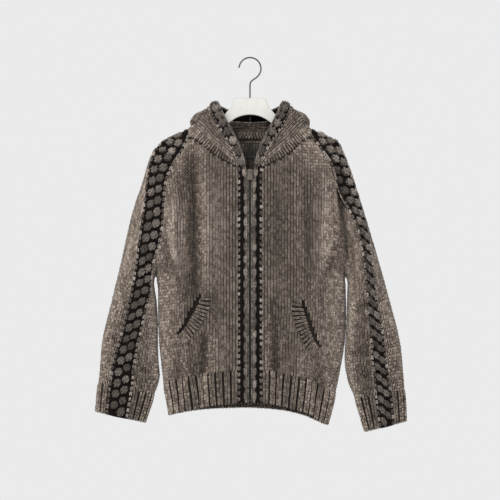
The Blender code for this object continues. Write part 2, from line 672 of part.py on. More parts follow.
class Strip:
    """The contrast strip from the neck over the shoulder and down the sleeve to the cuff's edge."""

    COLUMNS = 7

    def __init__(self, side, front, back, sleeve, cuff):
        self.side = side
        self.front_edge = np.concatenate([
            edge_from(front, FRONT_ROWS, SADDLE_END_Z[side], -0.181)[::-1], sleeve[1:, 0], cuff[1:, 0]])
        self.back_edge = np.concatenate([
            edge_from(back, BACK_ROWS, SHOULDER_BACK_Z, -0.160)[::-1], sleeve[1:, -1], cuff[1:, -1]])
        self.at_front, self.at_back, self.bobble = strip_stations(self.front_edge, self.back_edge)
        a, b = polyline(self.front_edge, at=self.at_front), polyline(self.back_edge, at=self.at_back)
        self.outward = unit(np.cross(np.gradient((a + b) / 2, axis=0), b - a)) * SIGN[side]
        middle = (a + b) / 2 + self.outward * STRIP_SAG
        c = np.linspace(0, 1, self.COLUMNS)[None, :, None]
        self.points = self.across(a, middle, b, c)
        self.points[0] = self.pointed(a[0], middle[0], b[0])
        self.neck = middle[0]

    @staticmethod
    def across(a, middle, b, c):
        """Parabola across the strip through its two edges and its middle."""
        return (a[:, None] * (1 - c) * (1 - 2 * c) + 4 * middle[:, None] * c * (1 - c)
                + b[:, None] * c * (2 * c - 1))

    def pointed(self, a, middle, b):
        """Straight lines from one edge to the middle and on to the other edge."""
        share = np.linspace(0, 2, self.COLUMNS)
        return np.stack([np.interp(share, [0, 1, 2], column) for column in np.stack([a, middle, b], -1)], -1)

    def build(self, seams, neck_seams):
        """Makes the strip's wall, with two staggered rows of bobbles."""
        edges = []
        for edge, at in ((self.front_edge, self.at_front), (self.back_edge, self.at_back)):
            turned = seams.at(edge[None])[0]
            edges.append(np.stack([np.interp(at, shares_of(edge), turned[:, k]) for k in range(3)], -1))
        middle = unit(self.outward + 0.5 * (unit(edges[0]) + unit(edges[1])))
        c = np.linspace(0, 1, self.COLUMNS)[None, :, None]
        normals = (edges[0][:, None] * (1 - 2 * c).clip(0) + middle[:, None] * (1 - np.abs(2 * c - 1))
                   + edges[1][:, None] * (2 * c - 1).clip(0))
        normals[:, 1:-1] = unit(normals[:, 1:-1])
        normals[0] = self.pointed(*neck_seams.at(np.stack([self.points[0, 0], self.neck, self.points[0, -1]])[None])[0])
        relief = np.zeros(self.points.shape[:2])
        relief[:, 1] = relief[:, 5] = 0.0015
        relief[:, 2] = 0.001 + (BOBBLE_HEIGHT - 0.001) * self.bobble
        relief[:, 3] = 0.002
        relief[:, 4] = 0.001 + (BOBBLE_HEIGHT - 0.001) * (1 - self.bobble)
        relief[0] = 0
        wall(f"strip_{self.side}", self.points, normals, "contrast", relief, inner_columns=(0, 3, 6),
             inset=STRIP_INSET)


def chained(name, grid, normals, link_height, pitch):
    """A trim with one chain of puffed links beside its free edge. Columns run to that edge."""
    length = np.linalg.norm(np.diff(grid[:, -1], axis=0), axis=1).sum()
    links = round(length / pitch)
    rows = len(grid) - 1
    free = np.interp(np.linspace(0, 1, 2 * links + 1), shares_of(grid[:, -1]), np.arange(rows + 1) / rows)
    at = with_corners(free, np.arange(1, rows) / rows, 0.006 / length)
    along = flip(refine_columns(flip(grid), at))
    turned = flip(refine_columns(flip(normals), at))
    across = np.array([0.0, 0.22, 0.42, 0.70, 1.0])
    points, turned = refine_columns(along, across), refine_columns(turned, across)
    travelled = np.interp(at, np.arange(rows + 1) / rows, shares_of(grid[:, -1]))
    puff = 0.5 - 0.5 * np.cos(travelled * links * 2 * math.pi)
    relief = np.zeros(points.shape[:2])
    relief[:, 1] = 0.0018 * puff
    relief[:, 2] = 0.0006
    relief[:, 3] = link_height * (0.45 + 0.55 * puff)
    relief[:, 4] = 0.0012
    return wall(name, points, turned, "contrast", relief, inner_columns=(0, 2, 4))


def band_grid(side, front, hem):
    """The front trim beside the zip: outer edge on the panel, inner edge along the zip."""
    outer = np.concatenate([hem[:-1, 0], front[:, 0]])
    heights = outer[:, 2]
    gap = np.interp(heights, (-0.860, -0.290, -0.276, -0.262, -0.252), (ZIP_GAP, ZIP_GAP, 0.0055, 0.0078, 0.0105))
    inner = np.stack([SIGN[side] * gap, outer[:, 1] - 0.0015, heights], -1)
    return np.stack([outer, inner], 1)


def hood_profile(w):
    """Control points of the hood's section at share w from the zip to the centre back."""
    base, trim = HOOD_BASE.points("x y z", w), HOOD_TRIM.points("x y z", w)
    stops = [base]
    for name, at in BAG_AT.items():
        straight = base + at * (trim - base)
        swell = np.array([0.3, -0.35, 0.45]) * at * (1 - at) * 0.05 * min(1.0, w / 0.3)
        stops.append(straight + swell if w <= 0.5 else HOOD_BAG[name].points("x y z", w))
    stops.append(trim)
    return np.array(stops), np.array([0.0, *BAG_AT.values(), 1.0])


def smooth_through(keys, points, at):
    """Catmull-Rom curve through points at given keys."""
    slopes = np.gradient(points, keys, axis=0)
    i = np.clip(np.searchsorted(keys, at, side="right") - 1, 0, len(keys) - 2)
    step = (keys[i + 1] - keys[i])[:, None]
    t = ((at - keys[i])[:, None]) / step
    return (
        points[i] * (1 + 2 * t) * (1 - t) ** 2
        + slopes[i] * step * t * (1 - t) ** 2
        + points[i + 1] * t * t * (3 - 2 * t)
        - slopes[i + 1] * step * t * t * (1 - t)
    )


def hood_grid(side, stations):
    """Rows from the neck rib to the trim, columns from the zip to the centre back."""
    rows = np.array(HOOD_ROWS)
    columns = []
    for w in stations:
        points, keys = hood_profile(w)
        columns.append(smooth_through(keys, points, rows))
    grid = np.stack(columns, 1)
    grid[..., 0] *= SIGN[side]
    return grid


def neck_stations(front, strip_middle, back):
    """Seam points round half the neck, from the zip to the centre back."""
    return np.concatenate([front[-1, :], strip_middle[None], back[-1, ::-1]])


def prism(name, outline, y_low, y_high, finish, bevel=0.0):
    """A flat plate: an outline in X and Z, with thickness along Y."""
    count = len(outline)
    points = [(x, y, z) for y in (y_low, y_high) for x, z in outline]
    faces = [tuple(range(count)), tuple(range(2 * count - 1, count - 1, -1))]
    faces += [(i, (i + 1) % count, count + (i + 1) % count, count + i) for i in range(count)]
    made = mesh_object(name, np.array(points), faces, finish)
    if bevel:
        edge = made.modifiers.new("soft_edge", "BEVEL")
        edge.width, edge.segments, edge.limit_method = bevel, 2, "ANGLE"
    return made


def arc(cx, cz, radius, start, end, steps):
    """Points on an arc in the X-Z plane, angles in degrees from +X."""
    angles = np.radians(np.linspace(start, end, steps))
    return [(cx + radius * math.cos(a), cz + radius * math.sin(a)) for a in angles]


def hanger_body():
    """Flat white display hanger with a bare head, an arched underside and sloping arms."""
    head = [(0.0340, -0.0915), (0.0370, -0.0935), (0.0395, -0.103), (0.0450, -0.114), (0.0560, -0.1265),
            (0.0700, -0.1385), (0.0900, -0.1510), (0.1100, -0.1610), (0.1300, -0.1695)]
    left_top = [(0.1500, -0.1782), (0.1600, -0.1843), (0.1700, -0.1904), (0.1800, -0.1968), (0.1880, -0.2039)]
    right_top = [(0.1500, -0.1796), (0.1600, -0.1860), (0.1700, -0.1919), (0.1800, -0.1988), (0.1880, -0.2054)]
    tip = [(0.1930, -0.2130), (0.1920, -0.2210), (0.1850, -0.2270)]
    low = [(0.1700, -0.2220), (0.1400, -0.2060), (0.1000, -0.1840), (0.0700, -0.1650)]
    half_arch = arc(0.0, -0.2000, 0.0700, 52, 90, 6)
    left_side = head + left_top + tip + low + half_arch
    right_side = head + right_top + tip + low + half_arch[:-1]
    outline = left_side + [(-x, z) for x, z in reversed(right_side)]
    body = prism("hanger_body", outline, -HANGER_THICKNESS / 2, HANGER_THICKNESS / 2, "hanger")
    bpy.ops.mesh.primitive_cylinder_add(vertices=16, radius=HOOK_WIRE + 0.0004, depth=2 * SHANK_DEPTH,
                                        location=(0, 0, HEAD_TOP_Z))
    cutter = bpy.context.object
    cutter.name = "shank_socket_cutter"
    cutter.hide_render = True
    cutter.display_type = "WIRE"
    edge = body.modifiers.new("soft_edge", "BEVEL")
    edge.width, edge.segments, edge.limit_method = 0.0018, 2, "ANGLE"
    edge.angle_limit = math.radians(60)
    cut = body.modifiers.new("shank_socket", "BOOLEAN")
    cut.object, cut.operation, cut.solver = cutter, "DIFFERENCE", "EXACT"
    return body


def hook():
    """Round wire hook: open circle, bent neck and a shank in the hanger's head."""
    centre_z = -(HOOK_RADIUS - HOOK_WIRE)
    circle = arc(0.0, centre_z, HOOK_RADIUS, 176, -32, 22)
    neck = [(0.0165, -0.0430), (0.0095, -0.0480), (0.0030, -0.0525), (0.0006, -0.0560), (0.0, -0.0610),
            (0.0, -0.0760), (0.0, HEAD_TOP_Z - SHANK_DEPTH + 0.0006)]
    path = circle + neck
    curve = bpy.data.curves.new("hook", "CURVE")
    curve.dimensions = "3D"
    curve.bevel_depth = HOOK_WIRE
    curve.bevel_resolution = 2
    curve.use_fill_caps = True
    spline = curve.splines.new("POLY")
    spline.points.add(len(path) - 1)
    for point, (x, z) in zip(spline.points, path):
        point.co = (x, 0, z, 1)
    made = bpy.data.objects.new("hook", curve)
    curve.materials.append(material("steel"))
    bpy.context.scene.collection.objects.link(made)
    return made


def mouth_frame(side):
    """Top of a pocket mouth, its direction and length, and the direction across it to the zip."""
    (top_x, top_z), (low_x, low_z) = POCKET_MOUTH[side]
    along = np.array([low_x - top_x, low_z - top_z])
    length = float(np.linalg.norm(along))
    along = along / length
    across = np.array([along[1], -along[0]])
    return np.array([top_x, top_z]), along, length, across


def front_y(side, x, z):
    """Forward face of the front panel at a place, from its cross section."""
    half = FRONT_HALF[side]
    shares = np.linspace(0, 1, 129)
    line = half.point(shares, np.full(129, z))
    return float(np.interp(abs(x), np.abs(line[:, 0]), line[:, 1]))


def on_front(side, places, offset):
    """Points on the front panel at X-Z places, moved out from it by offset."""
    made = []
    for x, z in places:
        step = 0.004
        y = front_y(side, x, z)
        slope_x = (front_y(side, x + step, z) - front_y(side, x - step, z)) / (2 * step)
        slope_z = (front_y(side, x, z + step) - front_y(side, x, z - step)) / (2 * step)
        normal = unit(np.array([slope_x * SIGN[side], -1.0, slope_z]))
        made.append(np.array([SIGN[side] * x, y, z]) + normal * offset)
    return np.array(made)


def welt(side):
    """Ribbed band round the inner side of a pocket mouth, lying on the front."""
    top, along, length, across = mouth_frame(side)
    steps = np.linspace(0, 1, 2 * WELT_RIBS + 1)
    key = WELT.key[-1] * steps
    mouth_along = np.interp(steps, np.linspace(0, 1, len(WELT.key)), WELT.columns["mouth_along"])
    spread = np.linspace(0, 1, len(WELT.key))
    columns = {name: monotone_cubic(spread, WELT.columns[name], steps) for name in WELT.columns}
    rows = []
    for inward in (0.0, 0.5, 1.0):
        a = columns["mouth_along"] * (1 - inward) + columns["outer_along"] * inward
        b = (columns["mouth_across"] + MOUTH_WIDTH / 2 + 0.0006) * (1 - inward) + (
            columns["outer_across"] + 0.001) * inward
        places = top + (a * length)[:, None] * along + b[:, None] * across
        rows.append(places)
    grid = np.stack([on_front(side, row, WELT_CLEARANCE + WELT_THICKNESS) for row in rows])
    flat = np.stack([on_front(side, row, WELT_CLEARANCE) for row in rows])
    wave = (np.arange(len(steps)) % 2).astype(float)
    relief = np.array([0.6, 1.0, 0.3])[:, None] * wave * 0.0014
    return wall(f"pocket_welt_{side}", grid, unit(grid - flat), "yarn", relief, thickness=WELT_THICKNESS)


def cut_mouth(side, panel):
    """Cuts the pocket mouth, a slanting lens, through the front panel."""
    top, along, length, across = mouth_frame(side)
    steps = np.linspace(0, 1, 9)
    centre = [float(np.interp(t, WELT.columns["mouth_along"], WELT.columns["mouth_across"])) for t in steps]
    half = MOUTH_WIDTH / 2 * np.sin(math.pi * (0.04 + 0.92 * steps)) ** 0.6
    edge_a = [top + t * length * along + (c + h) * across for t, c, h in zip(steps, centre, half)]
    edge_b = [top + t * length * along + (c - h) * across for t, c, h in zip(steps, centre, half)]
    outline = [(SIGN[side] * p[0], p[1]) for p in edge_a + edge_b[::-1]]
    cutter = prism(f"mouth_cutter_{side}", outline, -0.12, -0.03, "yarn")
    cutter.hide_render = True
    cutter.display_type = "WIRE"
    cut = panel.modifiers.new("pocket_mouth", "BOOLEAN")
    cut.object, cut.operation, cut.solver = cutter, "DIFFERENCE", "EXACT"


def pocket_bag(side):
    """Pocket bag behind the front: its edge lies against the panel and its middle stands off."""
    columns, rows = 7, 8
    xs = np.linspace(0.058, 0.182, columns)
    zs = np.linspace(-0.712, -0.522, rows)
    grid, normals = [], []
    for i, z in enumerate(zs):
        places = [(x, z) for x in xs]
        rise = np.sin(math.pi * i / (rows - 1)) ** 0.5 * np.sin(np.pi * np.linspace(0, 1, columns)) ** 0.5
        flat = on_front(side, places, -(WALL + 0.0016))
        deep = on_front(side, places, -(WALL + 0.0016 + BAG_DEPTH))
        grid.append(flat * (1 - rise[:, None]) + deep * rise[:, None])
        normals.append(unit(flat - deep))
    return wall(f"pocket_bag_{side}", np.array(grid), np.array(normals), "tape", thickness=0.0018)


def label():
    """Plain label inside the back of the neck."""
    xs, zs = np.linspace(-0.026, 0.026, 5), np.linspace(-0.232, -0.192, 3)
    half = BACK_HALF[LEFT]
    shares = np.linspace(0, 1, 129)
    grid = np.zeros((3, 5, 3))
    for i, z in enumerate(zs):
        line = half.point(shares, np.full(129, z))
        y = np.interp(np.abs(xs), line[:, 0], line[:, 1])
        grid[i] = np.stack([xs, y - WALL - 0.0017, np.full(5, z)], -1)
    normals = np.zeros_like(grid)
    normals[..., 1] = -1
    return wall("neck_label", grid, normals, "label", thickness=0.0008)


def zip_tape(side, band, normals):
    """Zip tape behind the trim's free edge, made from the trim's points."""
    inner, outer = band[:, 1], band[:, 0]
    toward = unit(outer - inner)
    edge = inner - toward * 0.0012
    far = inner + toward * 0.0120
    grid = np.stack([far, edge], 1) - unit(normals[:, [1, 1]]) * (WALL + 0.0009)
    keep = slice(1, len(grid))
    return wall(f"zip_tape_{side}", grid[keep], unit(normals[keep][:, [1, 1]]), "tape", thickness=0.0011)


SLIDER_Z = -0.2630
PULL_Y = -0.0925
BRIDGE_HALF = 0.0012
PULL_ROD = 0.0009


def box_points(low, high):
    """Corners of a box."""
    return [(x, y, z) for x in (low[0], high[0]) for y in (low[1], high[1]) for z in (low[2], high[2])]


BOX_FACES = [(0, 1, 3, 2), (4, 6, 7, 5), (0, 4, 5, 1), (2, 3, 7, 6), (0, 2, 6, 4), (1, 5, 7, 3)]


def joined_boxes(name, boxes, finish):
    """Boxes united into one solid."""
    made = []
    for index, (low, high) in enumerate(boxes):
        made.append(mesh_object(name if index == 0 else f"{name}_part_{index}", np.array(box_points(low, high)),
                                BOX_FACES, finish))
    for other in made[1:]:
        other.hide_render = True
        other.display_type = "WIRE"
        join = made[0].modifiers.new("join", "BOOLEAN")
        join.object, join.operation, join.solver = other, "UNION", "EXACT"
    return made[0]


def slider():
    """Zip slider, seated on the tapes' edges, with the bridge that carries its pull."""
    face, flange, back = PULL_Y + 0.0016, -0.0792, -0.0767
    top, low = SLIDER_Z + 0.0050, SLIDER_Z - 0.0070
    bridge_y = PULL_Y - PULL_ROD - 0.0004
    boxes = [
        ((-0.0042, face, low), (0.0042, back - 0.001, top)),
        ((-0.0064, flange, low + 0.001), (0.0064, back, top - 0.001)),
        ((-BRIDGE_HALF, bridge_y - 0.0013, SLIDER_Z + 0.0016), (BRIDGE_HALF, face + 0.001, SLIDER_Z + 0.0030)),
        ((-BRIDGE_HALF, bridge_y - 0.0013, SLIDER_Z - 0.0044), (BRIDGE_HALF, face + 0.001, SLIDER_Z - 0.0030)),
        ((-BRIDGE_HALF, bridge_y - 0.0014, SLIDER_Z - 0.0042), (BRIDGE_HALF, bridge_y, SLIDER_Z + 0.0028)),
    ]
    return joined_boxes("zip_slider", boxes, "zip_metal")


def pull_tab():
    """Rounded pull tab with a slot at its top, hung on the slider's bridge by its cross rod."""
    half_width, length = 0.0066, 0.0200
    outline = [(0.0042, 0.0009), (0.0046, -0.006), (0.0056, -0.012), (half_width, -0.0165)]
    outline += arc(half_width - 0.0030, -0.0170, 0.0030, 0, -90, 5)
    outline += [(-x, z) for x, z in reversed(outline)]
    slot = [(0.0022, -0.0009), (0.0022, -0.0064), (-0.0022, -0.0064), (-0.0022, -0.0009)]
    plate = prism("zip_pull", [(x, z + SLIDER_Z) for x, z in outline], PULL_Y - PULL_ROD, PULL_Y + PULL_ROD,
                  "zip_metal")
    cutter = prism("pull_slot_cutter", [(x, z + SLIDER_Z) for x, z in slot], PULL_Y - 0.004, PULL_Y + 0.004,
                   "zip_metal")
    cutter.hide_render = True
    cutter.display_type = "WIRE"
    cut = plate.modifiers.new("slot", "BOOLEAN")
    cut.object, cut.operation, cut.solver = cutter, "DIFFERENCE", "EXACT"
    return plate


def mirror_join(right, left):
    """The two halves of the back or its hem as one grid, from the right arm's side to the left's."""
    return np.concatenate([right[:, ::-1], left[:, 1:]], 1)


def build():
    """Makes every node of the hoodie and its hanger."""
    front = {side: panel_grid(side, "front") for side in SIGN}
    back = {side: panel_grid(side, "back") for side in SIGN}
    hem_front = {side: hem_grid(side, "front") for side in SIGN}
    hem_back = {side: hem_grid(side, "back") for side in SIGN}
    refine = {RIGHT: 2, LEFT: 1}
    sleeve = {s: sleeve_grid(s, front[s], back[s], SLEEVE_ROWS, refine[s]) for s in SIGN}
    cuff = {s: sleeve_grid(s, front[s], back[s], CUFF_ROWS, refine[s]) for s in SIGN}
    band = {side: band_grid(side, front[side], hem_front[side]) for side in SIGN}
    outward = {RIGHT: -1.0, LEFT: 1.0}
    grids = []
    for side in SIGN:
        turn = outward[side]
        grids += [(front[side], turn, "body"), (hem_front[side], turn, "body"), (band[side], -turn, "body"),
                  (back[side], -turn, "body"), (hem_back[side], -turn, "body"),
                  (sleeve[side], turn, "sleeve"), (cuff[side], turn, "sleeve")]
    seams = Seams(grids)
    strips = {side: Strip(side, front[side], back[side], sleeve[side], cuff[side]) for side in SIGN}

    neck, hood, trim, w_of = {}, {}, {}, {}
    for side in SIGN:
        low = neck_stations(front[side], strips[side].neck, back[side])
        length = np.concatenate([[0], np.cumsum(np.linalg.norm(np.diff(low, axis=0), axis=1))])
        w = w_of[side] = length / length[-1]
        base = HOOD_BASE.points("x y z", w)
        base[:, 0] *= SIGN[side]
        neck[side] = np.stack([low, base])
        hood[side] = hood_grid(side, w)
        edge, rim = HOOD_TRIM.points("x y z", w), HOOD_RIM.points("x y z", w)
        mirror = np.array([SIGN[side], 1, 1])
        edge = np.concatenate([low[:1], base[:1], edge * mirror])
        rim = np.concatenate([band[side][-1:, 1], RIM_AT_RIB[None] * mirror, rim * mirror])
        trim[side] = np.stack([edge, rim], 1)
    hood_seams = Seams([item for side in SIGN for item in (
        (neck[side], outward[side], "hood"), (hood[side], outward[side], "hood"),
        (flip(trim[side]), outward[side], "hood"), (front[side], outward[side], "body"),
        (back[side], -outward[side], "body"), (band[side], -outward[side], "body"))])

    for side in SIGN:
        panel = wall(f"front_{side}", front[side], hood_or(seams, hood_seams, front[side]), "yarn")
        cut_mouth(side, panel)
        ribbed(f"hem_front_{side}", hem_front[side], seams.at(hem_front[side]), RIB_PITCH, RIB_HEIGHT, (1, 1, 0))
        turned = seams.at(sleeve[side])
        if refine[side] == 2:
            turned[0, 1::2] = (turned[0, :-1:2] + turned[0, 2::2]) / 2
        wall(f"sleeve_{side}", sleeve[side], turned, "yarn", inset=2 * SEAM_INSET)
        ribbed(f"cuff_{side}", cuff[side], seams.at(cuff[side]), RIB_PITCH, RIB_HEIGHT, (0, 1, 1))
        strips[side].build(seams, hood_seams)
        chained(f"band_{side}", band[side], hood_or(seams, hood_seams, band[side]), LINK_HEIGHT, LINK_PITCH)
        zip_tape(side, band[side], seams.at(band[side]))
        turned = hood_seams.at(hood[side])
        share = shares_of(hood[side][:, 0])[:, None]
        turned[:, 0] = turned[0, 0] * (1 - share) + turned[-1, 0] * share
        thin = np.interp(w_of[side], (0.44, 0.52, 0.68, 0.76), (1.0, 0.5, 0.5, 1.0))
        wall(f"hood_{side}", hood[side], turned, "yarn", thickness=HOOD_WALL * thin[None])
        chained(f"hood_trim_{side}", trim[side], hood_seams.at(trim[side]), HOOD_LINK_HEIGHT, LINK_PITCH)
        welt(side)
        pocket_bag(side)
    whole_back = mirror_join(back[RIGHT], back[LEFT])
    wall("back", whole_back, hood_or(seams, hood_seams, whole_back), "yarn")
    whole_hem = mirror_join(hem_back[RIGHT], hem_back[LEFT])
    ribbed("hem_back", whole_hem, seams.at(whole_hem), RIB_PITCH, RIB_HEIGHT, (1, 1, 0))
    whole_neck = np.concatenate([neck[RIGHT], neck[LEFT][:, -2::-1]], 1)
    ribbed("neck_rib", whole_neck, hood_seams.at(whole_neck), NECK_RIB_PITCH, NECK_RIB_HEIGHT, (0.6, 0.6))
    label()
    slider()
    pull_tab()
    hanger_body()
    hook()


def hood_or(seams, hood_seams, grid):
    """Panel normals, with the neckline's row shared with the neck rib."""
    normals = seams.at(grid)
    normals[-1] = hood_seams.at(grid)[-1]
    return normals


for stale in list(bpy.data.objects):
    bpy.data.objects.remove(stale)
build()
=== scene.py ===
"""Dressed model of a chunky knit zip-up hoodie that hangs on its hanger.

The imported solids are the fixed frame. Each cloth piece is a thin shell on its solid's form, and
Geometry Nodes plant real stitches, bobbles, chain links and zip teeth on it. Lengths are in metres,
+Z is up, the front faces -Y, and the wearer's right arm is on the -X side.
"""

import logging
import math
import sys
from collections.abc import Callable
from dataclasses import dataclass, field
from enum import Enum

import bmesh
import bpy
import numpy as np
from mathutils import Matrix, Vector

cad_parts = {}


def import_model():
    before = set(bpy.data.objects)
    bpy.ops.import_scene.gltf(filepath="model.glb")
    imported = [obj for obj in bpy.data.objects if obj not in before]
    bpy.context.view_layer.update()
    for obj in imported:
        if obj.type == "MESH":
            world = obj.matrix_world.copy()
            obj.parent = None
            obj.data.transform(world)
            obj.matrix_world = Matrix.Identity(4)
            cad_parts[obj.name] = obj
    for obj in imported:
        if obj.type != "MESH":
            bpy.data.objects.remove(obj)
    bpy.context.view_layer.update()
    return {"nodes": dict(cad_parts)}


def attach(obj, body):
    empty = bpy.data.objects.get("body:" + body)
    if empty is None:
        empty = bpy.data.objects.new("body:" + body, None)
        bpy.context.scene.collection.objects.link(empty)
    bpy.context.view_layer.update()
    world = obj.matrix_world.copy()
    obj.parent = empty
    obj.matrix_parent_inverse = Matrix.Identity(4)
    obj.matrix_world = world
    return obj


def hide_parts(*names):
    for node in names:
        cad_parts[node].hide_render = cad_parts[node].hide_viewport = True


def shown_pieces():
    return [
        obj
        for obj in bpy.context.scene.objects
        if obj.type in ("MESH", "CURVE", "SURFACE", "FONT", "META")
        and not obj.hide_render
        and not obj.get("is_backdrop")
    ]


LOG = logging.getLogger("hoodie")
GARMENT = "garment"
Array = np.ndarray
Colour = tuple[float, float, float]
Wanted = Callable[[Array, Array, Array], Array]
Value = bpy.types.NodeSocket | float


class Side(Enum):
    """One side of the wearer."""

    RIGHT = "right"
    LEFT = "left"

    @property
    def sign(self) -> float:
        """Sign of X on this side."""
        return -1.0 if self is Side.RIGHT else 1.0


def unit(vectors: Array) -> Array:
    """Vectors scaled to length one."""
    return vectors / np.maximum(np.linalg.norm(vectors, axis=-1, keepdims=True), 1e-12)


def monotone_cubic(keys: Array, values: Array, at: Array) -> Array:
    """Smooth curve through a table's column that never overshoots its rows.

    Args:
        keys: rising keys of the rows.
        values: the column.
        at: where to read it.

    Returns:
        Its values there.
    """
    at = np.clip(np.asarray(at, float), keys[0], keys[-1])
    step = np.diff(keys)
    slope = np.diff(values) / step
    tangent = np.zeros(len(keys))
    tangent[0], tangent[-1] = slope[0], slope[-1]
    rising = slope[:-1] * slope[1:] > 0
    weight_a, weight_b = 2 * step[1:] + step[:-1], step[1:] + 2 * step[:-1]
    safe_a = np.where(rising, slope[:-1], 1.0)
    safe_b = np.where(rising, slope[1:], 1.0)
    mean = (weight_a + weight_b) / (weight_a / safe_a + weight_b / safe_b)
    tangent[1:-1] = np.where(rising, mean, 0.0)
    i = np.clip(np.searchsorted(keys, at, side="right") - 1, 0, len(keys) - 2)
    t = (at - keys[i]) / step[i]
    return (
        values[i] * (1 + 2 * t) * (1 - t) ** 2
        + tangent[i] * step[i] * t * (1 - t) ** 2
        + values[i + 1] * t * t * (3 - 2 * t)
        - tangent[i + 1] * step[i] * t * t * (1 - t)
    )


class Table:
    """A short table with named columns, read as smooth curves over its first column."""

    def __init__(self, columns: str, rows: list[tuple[float, ...]]) -> None:
        """Keeps the rows in the order of their first column."""
        data = np.array(sorted(rows), float)
        self.key = data[:, 0]
        self.columns = dict(zip(columns.split(), data.T))

    def at(self, column: str, key: Array) -> Array:
        """Values of a column at the given keys."""
        return monotone_cubic(self.key, self.columns[column], key)

    def points(self, key: Array) -> Array:
        """Places at the given keys, from the columns x, y and z."""
        return np.stack([self.at(name, key) for name in "xyz"], -1)


SIDE_SEAM = [
    (-0.860, 0.178, 0.173, 0.000), (-0.842, 0.180, 0.176, 0.000), (-0.820, 0.183, 0.182, 0.000),
    (-0.780, 0.190, 0.192, 0.000), (-0.728, 0.199, 0.203, 0.000), (-0.690, 0.203, 0.210, 0.000),
    (-0.650, 0.207, 0.216, 0.000), (-0.600, 0.209, 0.219, 0.000), (-0.535, 0.209, 0.218, 0.000),
    (-0.498, 0.213, 0.216, 0.000),
]
FRONT_EDGE = Table("z right left depth", SIDE_SEAM + [
    (-0.468, 0.213, 0.214, 0.034), (-0.430, 0.206, 0.207, 0.049),
    (-0.385, 0.198, 0.198, 0.055), (-0.337, 0.195, 0.195, 0.055), (-0.290, 0.191, 0.195, 0.050),
    (-0.252, 0.176, 0.186, 0.043), (-0.215, 0.154, 0.163, 0.034), (-0.181, 0.139, 0.139, 0.026),
])
FRONT_SHAPE = Table("z centre flat round", [
    (-0.860, 0.070, 2.5, 0.50), (-0.780, 0.072, 2.5, 0.50), (-0.700, 0.078, 2.6, 0.50),
    (-0.600, 0.083, 2.6, 0.50), (-0.498, 0.086, 2.6, 0.50), (-0.430, 0.087, 2.6, 0.70),
    (-0.385, 0.086, 2.5, 0.80), (-0.300, 0.082, 2.3, 0.90), (-0.252, 0.078, 2.2, 0.95),
    (-0.181, 0.068, 2.0, 1.00),
])
BACK_EDGE = Table("z right left depth", SIDE_SEAM + [
    (-0.455, 0.208, 0.210, 0.033), (-0.400, 0.196, 0.198, 0.045),
    (-0.345, 0.193, 0.194, 0.047), (-0.290, 0.196, 0.197, 0.041), (-0.240, 0.203, 0.203, 0.028),
    (-0.196, 0.208, 0.207, 0.010), (-0.178, 0.173, 0.172, 0.012), (-0.160, 0.136, 0.134, 0.014),
])
BACK_SHAPE = Table("z centre flat round", [
    (-0.860, 0.064, 2.5, 0.50), (-0.700, 0.073, 2.6, 0.50), (-0.600, 0.077, 2.6, 0.50),
    (-0.498, 0.079, 2.6, 0.50), (-0.430, 0.079, 2.6, 0.70), (-0.385, 0.079, 2.5, 0.80),
    (-0.300, 0.077, 2.3, 0.90), (-0.220, 0.069, 2.0, 1.00), (-0.182, 0.062, 2.0, 1.00),
    (-0.150, 0.056, 2.0, 1.00),
])
HEM_LINE = Table("u front_right front_left back_right back_left", [
    (0.00, -0.786, -0.786, -0.808, -0.808), (0.30, -0.794, -0.798, -0.809, -0.812),
    (0.60, -0.806, -0.815, -0.813, -0.824), (0.80, -0.814, -0.836, -0.817, -0.836),
    (1.00, -0.820, -0.842, -0.820, -0.842),
])
NECK_LINE = Table("u front back", [
    (0.00, -0.252, -0.182), (0.28, -0.231, -0.181), (0.50, -0.212, -0.178), (0.75, -0.191, -0.170),
    (1.00, -0.181, -0.160),
])
SLEEVE_COLUMNS = "s outer_x outer_z inner_x inner_z front back strip_front strip_back"
